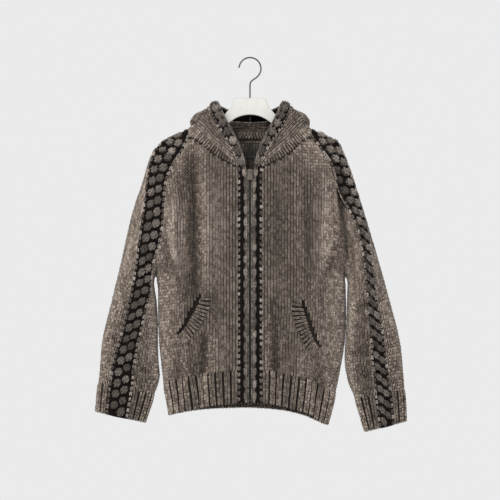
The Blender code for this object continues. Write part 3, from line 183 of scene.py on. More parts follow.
SLEEVES = {
    Side.RIGHT: Table(SLEEVE_COLUMNS, [
        (0.00, 0.210, -0.196, 0.214, -0.498, 0.056, 0.048, 0.775, -0.02),
        (0.10, 0.232, -0.240, 0.2225, -0.507, 0.061, 0.054, 0.86, 0.03),
        (0.18, 0.250, -0.300, 0.2235, -0.520, 0.064, 0.058, 0.93, 0.22),
        (0.26, 0.268, -0.355, 0.2215, -0.535, 0.065, 0.060, 0.92, 0.31),
        (0.38, 0.292, -0.460, 0.2170, -0.562, 0.062, 0.058, 0.85, 0.37),
        (0.50, 0.314, -0.552, 0.2145, -0.602, 0.056, 0.052, 0.75, 0.36),
        (0.68, 0.339, -0.662, 0.2130, -0.690, 0.044, 0.042, 0.64, 0.27),
        (0.80, 0.343, -0.716, 0.2095, -0.731, 0.038, 0.036, 0.59, 0.19),
        (0.87, 0.346, -0.745, 0.2220, -0.772, 0.028, 0.027, 0.62, 0.19),
        (1.00, 0.352, -0.812, 0.2440, -0.836, 0.021, 0.020, 0.66, 0.20),
    ]),
    Side.LEFT: Table(SLEEVE_COLUMNS, [
        (0.00, 0.210, -0.198, 0.216, -0.498, 0.056, 0.048, 0.18, -0.02),
        (0.10, 0.229, -0.255, 0.2245, -0.507, 0.061, 0.054, 0.31, 0.00),
        (0.18, 0.246, -0.310, 0.2275, -0.522, 0.064, 0.058, 0.33, 0.01),
        (0.26, 0.264, -0.368, 0.2265, -0.538, 0.065, 0.060, 0.36, 0.02),
        (0.38, 0.294, -0.468, 0.2255, -0.566, 0.062, 0.058, 0.47, 0.20),
        (0.50, 0.318, -0.555, 0.2245, -0.603, 0.056, 0.052, 0.54, 0.28),
        (0.68, 0.344, -0.662, 0.2200, -0.692, 0.044, 0.042, 0.54, 0.29),
        (0.80, 0.350, -0.722, 0.2260, -0.737, 0.038, 0.036, 0.54, 0.27),
        (0.87, 0.353, -0.762, 0.2430, -0.780, 0.028, 0.027, 0.60, 0.28),
        (1.00, 0.3565, -0.834, 0.2670, -0.857, 0.021, 0.020, 0.66, 0.30),
    ]),
}
HOOD_BASE = Table("w x y z", [
    (0.00, 0.029, -0.0785, -0.2455), (0.14, 0.052, -0.073, -0.226), (0.28, 0.084, -0.060, -0.199),
    (0.40, 0.110, -0.041, -0.171), (0.50, 0.128, -0.008, -0.155), (0.62, 0.118, 0.026, -0.154),
    (0.75, 0.087, 0.046, -0.158), (0.88, 0.046, 0.058, -0.164), (1.00, 0.000, 0.063, -0.167),
])
HOOD_TRIM = Table("w x y z", [
    (0.00, 0.0275, -0.0800, -0.2370), (0.14, 0.042, -0.082, -0.207), (0.28, 0.062, -0.072, -0.178),
    (0.40, 0.082, -0.050, -0.146), (0.50, 0.096, -0.016, -0.115), (0.62, 0.096, 0.034, -0.118),
    (0.75, 0.078, 0.072, -0.130), (0.88, 0.044, 0.094, -0.142), (1.00, 0.000, 0.100, -0.148),
])
HOOD_RIM = Table("w x y z", [
    (0.00, 0.0122, -0.0830, -0.2380), (0.14, 0.022, -0.086, -0.207), (0.28, 0.037, -0.078, -0.174),
    (0.40, 0.054, -0.058, -0.142), (0.50, 0.072, -0.018, -0.101), (0.62, 0.074, 0.022, -0.105),
    (0.75, 0.058, 0.052, -0.113), (0.88, 0.032, 0.072, -0.120), (1.00, 0.000, 0.078, -0.124),
])
HOOD_BAG = {
    "stand": Table("w x y z", [
        (0.50, 0.1240, -0.0090, -0.1500), (0.62, 0.1170, 0.0310, -0.1460), (0.75, 0.0880, 0.0520, -0.1400),
        (0.88, 0.0470, 0.0640, -0.1450), (1.00, 0.0000, 0.0690, -0.1480)]),
    "inner": Table("w x y z", [
        (0.50, 0.1184, -0.0104, -0.1425), (0.62, 0.1260, 0.0430, -0.1400), (0.75, 0.1020, 0.0760, -0.1720),
        (0.88, 0.0560, 0.0880, -0.1950), (1.00, 0.0000, 0.0920, -0.2000)]),
    "inner_low": Table("w x y z", [
        (0.50, 0.1130, -0.0117, -0.1355), (0.62, 0.1330, 0.0550, -0.1450), (0.75, 0.1120, 0.0800, -0.2120),
        (0.88, 0.0620, 0.0900, -0.2650), (1.00, 0.0000, 0.0930, -0.2850)]),
    "fold": Table("w x y z", [
        (0.50, 0.1100, -0.0125, -0.1315), (0.62, 0.1380, 0.0650, -0.1420), (0.75, 0.1180, 0.0980, -0.2430),
        (0.88, 0.0650, 0.1080, -0.3020), (1.00, 0.0000, 0.1110, -0.3260)]),
    "outer_low": Table("w x y z", [
        (0.50, 0.1067, -0.0133, -0.1275), (0.62, 0.1310, 0.0660, -0.1290), (0.75, 0.1170, 0.1170, -0.2170),
        (0.88, 0.0650, 0.1270, -0.2680), (1.00, 0.0000, 0.1300, -0.2880)]),
    "outer": Table("w x y z", [
        (0.50, 0.1015, -0.0146, -0.1212), (0.62, 0.1160, 0.0560, -0.1210), (0.75, 0.1070, 0.1150, -0.1790),
        (0.88, 0.0600, 0.1300, -0.2030), (1.00, 0.0000, 0.1350, -0.2130)]),
}
BAG_AT = {"stand": 0.12, "inner": 0.30, "inner_low": 0.46, "fold": 0.56, "outer_low": 0.66, "outer": 0.82}
POCKET_MOUTH = {
    Side.RIGHT: ((0.1136, -0.545), (0.1630, -0.630)),
    Side.LEFT: ((0.1200, -0.560), (0.1580, -0.658)),
}
WELT = Table("mouth_along mouth_across outer_along outer_across", [
    (0.00, 0.0000, -0.12, 0.022), (0.27, 0.0020, 0.18, 0.033), (0.47, 0.0030, 0.46, 0.034),
    (0.67, 0.0040, 0.73, 0.033), (0.88, 0.0030, 1.02, 0.029), (1.00, 0.0000, 1.20, 0.021),
])

UNDERARM_Z = -0.498
FRONT_TOP_Z = -0.181
BACK_TOP_Z = -0.160
SHOULDER_BACK_Z = -0.196
SADDLE_END_Z = {Side.RIGHT: -0.430, Side.LEFT: -0.252}
HEM_HEIGHT = 0.075
BAND_EDGE = 0.0265
ZIP_GAP = 0.0024
MOUTH_WIDTH = 0.0105
RIM_AT_RIB = np.array([0.0112, -0.0812, -0.2455])
WALE = 0.0066
COURSE = 0.0071
SINK = 0.0013
WALL = 0.0032
SEAM_GAP = 0.0003
STITCH_SEAT = 0.0004
TRIM_SEAT = 0.0008
YARN_TONE = 0.5


@dataclass(frozen=True)
class Crease:
    """A soft trough or ridge in the cloth, along a bowed line in the front view.

    Attributes:
        start: X and Z of one end.
        end: X and Z of the other end.
        width: half width of the crease.
        rise: how far it lifts the cloth outward; a trough's is negative.
        bow: how far the line's middle swings to one side.
        facing: -1 on the garment's front, +1 on its back.
    """

    start: tuple[float, float]
    end: tuple[float, float]
    width: float
    rise: float
    bow: float = 0.0
    facing: float = -1.0

    GAIN, FACING_GAIN, TAPER = 1.4, 1.8, 0.7

    def lift(self, points: Array, normals: Array) -> Array:
        """How far the crease moves each point along its normal.

        Args:
            points: places on the cloth.
            normals: outward unit vectors there.

        Returns:
            The moves in metres.
        """
        start, run = np.array(self.start), np.array(self.end) - np.array(self.start)
        length = float(np.linalg.norm(run))
        offset = points[..., [0, 2]] - start
        along = offset @ run / length**2
        across = (offset[..., 0] * run[1] - offset[..., 1] * run[0]) / length
        across = across - self.bow * (1 - (2 * np.clip(along, 0, 1) - 1) ** 2)
        taper = np.sin(math.pi * np.clip(along, 0, 1)) ** self.TAPER
        seen = np.clip(self.FACING_GAIN * self.facing * normals[..., 1], 0, 1)
        return self.GAIN * self.rise * np.exp(-((across / self.width) ** 2)) * taper * seen


CREASES = (
    Crease((-0.128, -0.205), (-0.120, -0.600), 0.017, -0.0120, 0.004),
    Crease((-0.086, -0.250), (-0.083, -0.540), 0.024, 0.0050, -0.005),
    Crease((-0.162, -0.290), (-0.160, -0.540), 0.017, 0.0060, 0.004),
    Crease((-0.196, -0.400), (-0.140, -0.545), 0.012, -0.0050, 0.006),
    Crease((-0.100, -0.620), (-0.114, -0.850), 0.015, -0.0110, 0.004),
    Crease((-0.062, -0.590), (-0.066, -0.800), 0.017, 0.0040),
    Crease((-0.165, -0.660), (-0.158, -0.810), 0.014, -0.0050),
    Crease((0.054, -0.540), (0.064, -0.830), 0.016, -0.0085, 0.004),
    Crease((0.098, -0.660), (0.104, -0.830), 0.018, 0.0045),
    Crease((0.122, -0.260), (0.126, -0.530), 0.016, -0.0050, -0.005),
    Crease((0.162, -0.270), (0.166, -0.540), 0.019, 0.0048, 0.004),
    Crease((0.200, -0.420), (0.140, -0.560), 0.012, -0.0050, -0.005),
    Crease((0.150, -0.690), (0.144, -0.835), 0.013, -0.0055),
    Crease((0.060, -0.280), (0.052, -0.500), 0.024, -0.0030),
    Crease((-0.290, -0.500), (-0.232, -0.575), 0.011, -0.0045, 0.003),
    Crease((-0.318, -0.640), (-0.232, -0.668), 0.010, -0.0050, -0.005),
    Crease((-0.330, -0.700), (-0.226, -0.722), 0.009, -0.0055, -0.005),
    Crease((-0.262, -0.330), (-0.236, -0.470), 0.014, -0.0040, 0.004),
    Crease((0.246, -0.585), (0.300, -0.520), 0.011, -0.0045, 0.003),
    Crease((0.240, -0.672), (0.326, -0.640), 0.010, -0.0050, 0.005),
    Crease((0.242, -0.728), (0.338, -0.705), 0.009, -0.0055, 0.004),
    Crease((0.262, -0.420), (0.274, -0.650), 0.009, -0.0065, 0.003),
    Crease((0.238, -0.330), (0.262, -0.480), 0.014, -0.0035, -0.004),
    Crease((0.086, -0.116), (0.053, -0.212), 0.0075, -0.0090, 0.003),
    Crease((0.2000, -0.235), (0.2150, -0.490), 0.0095, -0.0190, -0.002),
    Crease((0.2330, -0.400), (0.2370, -0.560), 0.0090, -0.0060, 0.002),
    Crease((-0.086, -0.120), (-0.062, -0.190), 0.009, -0.0030, -0.003),
    Crease((-0.100, -0.230), (-0.118, -0.560), 0.019, -0.0070, 0.006, 1.0),
    Crease((0.104, -0.260), (0.096, -0.600), 0.020, -0.0065, -0.005, 1.0),
    Crease((0.000, -0.330), (0.006, -0.700), 0.026, 0.0050, 0.004, 1.0),
    Crease((-0.050, -0.560), (-0.058, -0.820), 0.016, -0.0065, 0.003, 1.0),
    Crease((0.066, -0.610), (0.060, -0.830), 0.015, -0.0070, -0.004, 1.0),
    Crease((-0.140, -0.640), (-0.146, -0.820), 0.017, 0.0050, 0.0, 1.0),
    Crease((0.150, -0.600), (0.140, -0.830), 0.016, 0.0045, 0.0, 1.0),
    Crease((-0.300, -0.520), (-0.236, -0.590), 0.011, -0.0045, 0.004, 1.0),
    Crease((-0.322, -0.660), (-0.230, -0.700), 0.010, -0.0055, -0.004, 1.0),
    Crease((0.240, -0.600), (0.305, -0.530), 0.011, -0.0045, 0.004, 1.0),
    Crease((0.238, -0.705), (0.330, -0.665), 0.010, -0.0055, 0.004, 1.0),
)


class BodyHalf:
    """Cross sections of one half of the body, read by height and by share of the section's length."""

    LOW, HIGH, SHARES, DENSE = 120, 110, 129, 600
    LOWEST, HIGHEST = -0.860, -0.150

    def __init__(self, edge: Table, shape: Table, side: Side, start: float) -> None:
        """Works out the sections.

        Args:
            edge: the outer edge's distance from the middle and its depth, by height.
            shape: the section's depth and roundness, by height.
            side: the wearer's side.
            start: X of the inner edge.
        """
        below = np.linspace(self.LOWEST, UNDERARM_Z, self.LOW)
        self.z = np.concatenate([below, np.linspace(UNDERARM_Z, self.HIGHEST, self.HIGH)[1:]])
        self.u = np.linspace(0, 1, self.SHARES)
        across = 1 - (1 - np.linspace(0, 1, self.DENSE)) ** 2
        facing = -1.0 if edge is FRONT_EDGE else 1.0
        self.grid = np.zeros((len(self.z), self.SHARES, 2))
        for i, z in enumerate(self.z):
            seam = FRONT_EDGE if z <= UNDERARM_Z else edge
            end, depth = float(seam.at(side.value, z)), float(edge.at("depth", z))
            centre, flat, rounding = (float(shape.at(c, z)) for c in ("centre", "flat", "round"))
            x = start + across * (end - start)
            y = depth + (centre - depth) * np.maximum(1 - across**flat, 0) ** rounding
            length = np.concatenate([[0], np.cumsum(np.hypot(np.diff(x), np.diff(y)))])
            self.grid[i, :, 0] = side.sign * np.interp(self.u, length / length[-1], x)
            self.grid[i, :, 1] = facing * np.interp(self.u, length / length[-1], y)

    def point(self, u: Array, z: Array) -> Array:
        """Points on the half.

        Args:
            u: share of the section's length, from the inner edge.
            z: height.

        Returns:
            The points.
        """
        u, z = np.broadcast_arrays(np.asarray(u, float), np.asarray(z, float))
        i = np.clip(np.searchsorted(self.z, z, side="right") - 1, 0, len(self.z) - 2)
        j = np.clip((u * (self.SHARES - 1)).astype(int), 0, self.SHARES - 2)
        a = ((z - self.z[i]) / (self.z[i + 1] - self.z[i]))[..., None]
        b = (u * (self.SHARES - 1) - j)[..., None]
        low = self.grid[i, j] * (1 - b) + self.grid[i, j + 1] * b
        high = self.grid[i + 1, j] * (1 - b) + self.grid[i + 1, j + 1] * b
        return np.concatenate([low * (1 - a) + high * a, z[..., None]], -1)


FRONT_HALF = {side: BodyHalf(FRONT_EDGE, FRONT_SHAPE, side, BAND_EDGE) for side in Side}
BACK_HALF = {side: BodyHalf(BACK_EDGE, BACK_SHAPE, side, 0.0) for side in Side}


def travelled(points: Array) -> Array:
    """Distance along a polyline to each of its points."""
    return np.concatenate([[0], np.cumsum(np.linalg.norm(np.diff(points, axis=0), axis=1))])


def shares_of(points: Array) -> Array:
    """How far along a polyline each of its points is, from 0 to 1."""
    length = travelled(points)
    return length / length[-1]


def polyline(points: Array, at: Array) -> Array:
    """Points at given shares of a polyline's length."""
    share = shares_of(points)
    return np.stack([np.interp(at, share, points[:, k]) for k in range(points.shape[1])], -1)


def length_of(points: Array) -> float:
    """Length of a polyline."""
    return float(np.linalg.norm(np.diff(points, axis=0), axis=1).sum())


def inward(surface: Array, amount: float) -> Array:
    """Moves of a given length from a grid's first row towards its second, square to the row."""
    run = unit(np.gradient(surface[0], axis=0))
    way = surface[1] - surface[0]
    return unit(way - run * (way * run).sum(-1, keepdims=True)) * amount


@dataclass
class ClothGrid:
    """Points of one cloth piece on a grid, with outward normals.

    Attributes:
        points: rows by columns of places; rows follow the wales and columns lie across them.
        normals: outward unit vectors at the points.
        shade: painted shade in the creases' troughs and painted light on their ridges, added to the yarn's
            tone.
    """

    points: Array
    normals: Array
    shade: Array | None = None

    EASE_CELLS, DEEP, SHADE_REACH = 4, 0.012, 0.42

    @classmethod
    def of(cls, points: Array, turn: float) -> "ClothGrid":
        """A grid whose normals come from its own faces.

        Args:
            points: rows by columns of places.
            turn: +1 or -1, so that the normals point outward.

        Returns:
            The grid.
        """
        normals = np.zeros_like(points)
        a, b = points[1:, 1:] - points[:-1, :-1], points[1:, :-1] - points[:-1, 1:]
        face = np.cross(a, b) * turn
        for di in (0, 1):
            for dj in (0, 1):
                rows = slice(di, normals.shape[0] - 1 + di)
                columns = slice(dj, normals.shape[1] - 1 + dj)
                normals[rows, columns] += face
        return cls(points, unit(normals))

    def flipped(self) -> "ClothGrid":
        """The same grid with its rows and columns exchanged."""
        shade = None if self.shade is None else self.shade.T
        return ClothGrid(np.swapaxes(self.points, 0, 1), np.swapaxes(self.normals, 0, 1), shade)

    def at(self, i: Array, j: Array) -> tuple[Array, Array]:
        """Points and normals between the grid's own.

        Args:
            i: fractional rows.
            j: fractional columns.

        Returns:
            The points, and the unit normals.
        """
        i, j = np.broadcast_arrays(np.asarray(i, float), np.asarray(j, float))
        a = np.clip(i.astype(int), 0, self.points.shape[0] - 2)
        b = np.clip(j.astype(int), 0, self.points.shape[1] - 2)
        s, t = (i - a)[..., None], (j - b)[..., None]

        def read(values: Array) -> Array:
            """Values on the faces that the places lie in."""
            low = values[a, b] * (1 - t) + values[a, b + 1] * t
            high = values[a + 1, b] * (1 - t) + values[a + 1, b + 1] * t
            return low * (1 - s) + high * s

        return read(self.points), unit(read(self.normals))

    def inside(self) -> "ClothGrid":
        """The same places seen from the wearer's side."""
        return ClothGrid(self.points, -self.normals)

    def shade_at(self, i: Array, j: Array) -> Array:
        """Painted shade or light at the nearest rows and columns."""
        if self.shade is None:
            return np.zeros(np.shape(i))
        return self.shade[np.rint(i).astype(int), np.rint(j).astype(int)]

    def moved(self, amount: Array | float) -> "ClothGrid":
        """The grid moved along its normals."""
        shift = np.broadcast_to(amount, self.points.shape[:2])[..., None]
        return ClothGrid(self.points + self.normals * shift, self.normals, self.shade)

    def creased(self, turn: float, held: str = "") -> "ClothGrid":
        """The grid with the garment's creases pressed into it, with painted shade in their troughs and
        painted light on their ridges.

        Args:
            turn: +1 or -1, so that the normals point outward.
            held: seams that stay in place: first_row, last_row, first_column, last_column.

        Returns:
            The creased grid.
        """
        rows, columns = self.points.shape[:2]
        i, j = np.arange(rows)[:, None], np.arange(columns)[None, :]
        away = {"first_row": i, "last_row": rows - 1 - i, "first_column": j, "last_column": columns - 1 - j}
        loose = np.ones((rows, columns))
        for seam in held.split():
            loose = loose * np.sin(np.clip(away[seam] / self.EASE_CELLS, 0, 1) * math.pi / 2)
        lift = sum(crease.lift(self.points, self.normals) for crease in CREASES)
        made = ClothGrid.of(self.moved(lift * loose).points, turn)
        # painted shade where a crease presses the cloth in, painted light where it lifts it
        made.shade = np.clip(lift * loose / self.DEEP, -1.0, 0.5) * self.SHADE_REACH
        return made

    def trimmed(self, gap: float) -> "ClothGrid":
        """The grid with its four edges drawn in by the seam gap, or let out where it is negative."""
        moved = self.points.copy()
        moved[0] += inward(self.points, gap)
        moved[-1] += inward(self.points[::-1], gap)
        turned = np.swapaxes(self.points, 0, 1)
        moved[:, 0] += inward(turned, gap)
        moved[:, -1] += inward(turned[::-1], gap)
        return ClothGrid(moved, self.normals, self.shade)


def joined_halves(right: Array, left: Array) -> Array:
    """One grid from two halves whose first columns meet in the middle."""
    return np.concatenate([right[:, ::-1], left[:, 1:]], 1)


def resample(count_across: int, grid: Array) -> Array:
    """A grid read at evenly spaced columns, on straight lines between its own.

    Args:
        count_across: number of columns.
        grid: the grid's places.

    Returns:
        The new places.
    """
    at = np.linspace(0, grid.shape[1] - 1, count_across)
    i = np.clip(at.astype(int), 0, grid.shape[1] - 2)
    t = (at - i)[None, :, None]
    return grid[:, i] * (1 - t) + grid[:, i + 1] * t


class Pattern:
    """The hoodie's surfaces, worked out from its tables at fine spacing."""

    LOOP_STEPS = 360
    BODY_COLUMNS = 30
    BODY_ROWS = 80
    HEM_ROWS = 13
    SLEEVE_STEPS = 96
    CUFF_START = 0.87
    ROUNDNESS = 0.88
    EVEN_BY = 0.40
    ARMHOLE_REACH = 0.22
    BAND_STEP = 0.0036
    BAG_SWELL = (0.3, -0.35, 0.45)
    ZIP_PART = ((-0.860, -0.290, -0.276, -0.262, -0.252), (ZIP_GAP, ZIP_GAP, 0.0055, 0.0078, 0.0105))

    def __init__(self) -> None:
        """Makes the grids that more than one piece shares."""
        self.front = {side: self.panel(side, "front") for side in Side}
        self.back = {side: self.panel(side, "back") for side in Side}
        self.armholes = {side: self.armhole(side) for side in Side}

    @staticmethod
    def half(side: Side, face: str) -> BodyHalf:
        """The cross sections of a front or back half."""
        return FRONT_HALF[side] if face == "front" else BACK_HALF[side]

    def panel(self, side: Side, face: str, level: bool = False) -> Array:
        """A front's or back half's grid, from the hem's top.

        Args:
            side: the wearer's side.
            face: front or back.
            level: its rows end level at the shoulder, as the knitting does, not at the neckline.

        Returns:
            Rows going up, and columns from the zip or centre back to the outer edge.
        """
        u, v = np.linspace(0, 1, self.BODY_COLUMNS + 1), np.linspace(0, 1, self.BODY_ROWS + 1)
        low = HEM_LINE.at(f"{face}_{side.value}", u) + HEM_HEIGHT
        shoulder = BACK_TOP_Z if face == "back" else FRONT_TOP_Z
        high = shoulder if level else NECK_LINE.at(face, u)
        return self.half(side, face).point(u[None, :], low[None, :] + v[:, None] * (high - low)[None, :])

    def hem(self, side: Side, face: str, columns: int) -> Array:
        """Rows from the hem's lower edge to its top."""
        u, t = np.linspace(0, 1, columns), np.linspace(0, 1, self.HEM_ROWS)
        low = HEM_LINE.at(f"{face}_{side.value}", u)
        return self.half(side, face).point(u[None, :], low[None, :] + t[:, None] * HEM_HEIGHT)

    def edge_of(self, grid: Array, low_z: float, high_z: float) -> Array:
        """The outer edge of a panel between two heights, with exact ends.

        Args:
            grid: the panel.
            low_z: the lower height.
            high_z: the upper height.

        Returns:
            Points going up the edge.
        """
        edge = grid[:, -1]
        inside = edge[(edge[:, 2] > low_z + 1e-4) & (edge[:, 2] < high_z - 1e-4)]
        ends = [np.array([np.interp(z, edge[:, 2], edge[:, k]) for k in range(3)]) for z in (low_z, high_z)]
        return np.concatenate([ends[0][None], inside, ends[1][None]])

    def armhole(self, side: Side) -> Array:
        """The armhole's edge, from the strip's front edge under the arm to its back edge."""
        return np.concatenate([
            self.edge_of(self.front[side], UNDERARM_Z, SADDLE_END_Z[side])[::-1],
            self.edge_of(self.back[side], UNDERARM_Z, SHOULDER_BACK_Z)[1:],
        ])

    def loop(self, side: Side, s: float) -> tuple[Array, Array]:
        """Dense closed section of a sleeve, from its outer point round the front.

        Args:
            side: the wearer's side.
            s: share of the sleeve's length.

        Returns:
            The section's points, and the distance travelled to each.
        """
        table = SLEEVES[side]
        outer = np.array([float(table.at("outer_x", s)), 0.0, float(table.at("outer_z", s))])
        inner = np.array([float(table.at("inner_x", s)), 0.0, float(table.at("inner_z", s))])
        angle = np.linspace(0, 2 * math.pi, self.LOOP_STEPS + 1)
        c = np.sign(np.cos(angle)) * np.abs(np.cos(angle)) ** self.ROUNDNESS
        d = np.sign(np.sin(angle)) * np.abs(np.sin(angle)) ** self.ROUNDNESS
        depth = np.where(d > 0, float(table.at("front", s)), float(table.at("back", s)))
        loop = (outer + inner) / 2 + c[:, None] * (outer - inner) / 2
        loop[:, 1] = -d * depth
        loop[:, 0] *= side.sign
        return loop, travelled(loop)

    def strip_arcs(self, side: Side, s: float, length: Array) -> list[float]:
        """Where the contrast strip's edges lie on a sleeve section.

        Args:
            side: the wearer's side.
            s: share of the sleeve's length.
            length: distance travelled to each of the section's points.

        Returns:
            Distances round the section to the front edge and to the back edge.
        """
        places, steps = [], np.arange(self.LOOP_STEPS + 1)
        for column in ("strip_front", "strip_back"):
            across = float(SLEEVES[side].at(column, s))
            c = 1 - 2 * abs(across)
            angle = math.acos(math.copysign(abs(c) ** (1 / self.ROUNDNESS), c))
            turn = angle / (2 * math.pi) * self.LOOP_STEPS
            if across >= 0:
                places.append(float(np.interp(turn, steps, length)))
            else:
                places.append(float(np.interp(self.LOOP_STEPS - turn, steps, length)) - length[-1])
        return places

    def sleeve(self, side: Side, rows: Array) -> Array:
        """A sleeve's grid.

        Args:
            side: the wearer's side.
            rows: shares of the sleeve's length.

        Returns:
            Rows down the sleeve, and columns from the strip's front edge under the arm to its back edge.
        """
        armhole = self.armholes[side]
        under = int(armhole[:, 2].argmin())
        before, after = shares_of(armhole[:under + 1]), shares_of(armhole[under:])

        def ring(s: float) -> Array:
            """One row, spaced as the armhole at the top and evenly from the elbow down."""
            loop, arcs = self.loop(side, s)
            start, end = self.strip_arcs(side, s, arcs)
            middle = arcs[self.LOOP_STEPS // 2]
            ease = min(s / self.EVEN_BY, 1.0)
            first = before * (1 - ease) + np.linspace(0, 1, len(before)) * ease
            second = after * (1 - ease) + np.linspace(0, 1, len(after)) * ease
            places = np.concatenate([
                start + first * (middle - start), middle + second[1:] * (end + arcs[-1] - middle)])
            wrapped = np.mod(places, arcs[-1])
            return np.stack([np.interp(wrapped, arcs, loop[:, k]) for k in range(3)], -1)

        error = armhole - ring(0.0)
        near = np.minimum(np.asarray(rows) / self.ARMHOLE_REACH, 1.0)
        fades = (1 - near) ** 2 * (1 + 2 * near)
        return np.array([ring(float(s)) + error * fade for s, fade in zip(rows, fades)])

    def strip_edges(self, side: Side) -> tuple[Array, Array]:
        """The contrast strip's front and back edges, from the neck to the cuff's end."""
        rows = np.linspace(0.0, 1.0, self.SLEEVE_STEPS)
        sleeve = self.sleeve(side, rows)
        front = np.concatenate([
            self.edge_of(self.front[side], SADDLE_END_Z[side], FRONT_TOP_Z)[::-1], sleeve[1:, 0]])
        back = np.concatenate([
            self.edge_of(self.back[side], SHOULDER_BACK_Z, BACK_TOP_Z)[::-1], sleeve[1:, -1]])
        return front, back

    def band(self, side: Side) -> Array:
        """The trim beside the zip: rows up its length, columns from the panel to the zip."""
        hem = self.hem(side, "front", 5)
        outer = np.concatenate([hem[:-1, 0], self.front[side][:, 0]])
        heights = outer[:, 2]
        gap = np.interp(heights, *self.ZIP_PART)
        inner = np.stack([side.sign * gap, outer[:, 1] - 0.0015, heights], -1)
        at = np.linspace(0, 1, round(length_of(outer) / self.BAND_STEP))
        return np.stack([polyline(outer, at), polyline(inner, at)], 1)

    def neckline(self, side: Side, strip_middle: Array) -> tuple[Array, Array]:
        """Seam round half the neck, from the zip to the centre back.

        Args:
            side: the wearer's side.
            strip_middle: the middle of the strip's end at the neck.

        Returns:
            The seam's points, and their shares of its length.
        """
        top_front, top_back = self.front[side][-1], self.back[side][-1, ::-1]
        over = np.array([top_front[-1], strip_middle, top_back[0]])
        low = np.concatenate([top_front[:-1], polyline(over, np.linspace(0, 1, 9)), top_back[1:]])
        return low, shares_of(low)

    @staticmethod
    def hood(side: Side, shares: Array, rows: Array) -> Array:
        """One half of the hood.

        Args:
            side: the wearer's side.
            shares: shares of the neckline for the columns, from the zip to the centre back.
            rows: shares of the way from the neck rib to the trim.

        Returns:
            The places, rows by columns.
        """
        columns = []
        for w in shares:
            base, trim = HOOD_BASE.points(w), HOOD_TRIM.points(w)
            stops = [base]
            for name, at in BAG_AT.items():
                straight = base + at * (trim - base)
                swell = np.array(Pattern.BAG_SWELL) * at * (1 - at) * 0.05 * min(1.0, w / 0.3)
                stops.append(straight + swell if w <= 0.5 else HOOD_BAG[name].points(w))
            points, keys = np.array(stops + [trim]), np.array([0.0, *BAG_AT.values(), 1.0])
            slopes = np.gradient(points, keys, axis=0)
            i = np.clip(np.searchsorted(keys, rows, side="right") - 1, 0, len(keys) - 2)
            step = (keys[i + 1] - keys[i])[:, None]
            t = (rows - keys[i])[:, None] / step
            columns.append(
                points[i] * (1 + 2 * t) * (1 - t) ** 2 + slopes[i] * step * t * (1 - t) ** 2
                + points[i + 1] * t * t * (3 - 2 * t) - slopes[i + 1] * step * t * t * (1 - t))
        grid = np.stack(columns, 1)
        grid[..., 0] *= side.sign
        return grid


@dataclass
class Planting:
    """Places where Geometry Nodes plant copies of a small shape.

    Attributes:
        points: the places.
        out: outward directions, which become the shape's Z.
        along: directions of its Y.
        size: scale in X, Y and Z.
        tone: lightness of each copy's yarn, from 0 to 1; plant_rows adds the grid's painted shade and light
            to it.
    """

    points: Array
    out: Array
    along: Array
    size: Array
    tone: Array


class Chance:
    """Seeded random numbers, drawn in one order."""

    source = np.random.default_rng(27)

    @classmethod
    def about(cls, middle: float, spread: float, count: int) -> Array:
        """Numbers spread evenly about a middle."""
        return middle + spread * (2 * cls.source.random(count) - 1)


def plant_rows(grid: ClothGrid, i: Array, j: Array, size: Array, tone: Array) -> Planting:
    """A planting on a grid, with its Y along the rows.

    Args:
        grid: the surface.
        i: fractional rows.
        j: fractional columns.
        size: scale of each copy in X, Y and Z.
        tone: lightness of each copy's yarn, before the grid's painted shade and light is added.

    Returns:
        The planting.
    """
    points, out = grid.at(i, j)
    ahead, _ = grid.at(np.clip(i + 0.4, 0, len(grid.points) - 1), j)
    behind, _ = grid.at(np.clip(i - 0.4, 0, len(grid.points) - 1), j)
    along = ahead - behind
    along = unit(along - out * (along * out).sum(-1, keepdims=True))
    # the tone gets the creases' painted shade in troughs and painted light on ridges
    return Planting(points, out, along, size, np.clip(tone + grid.shade_at(i, j), 0, 1))


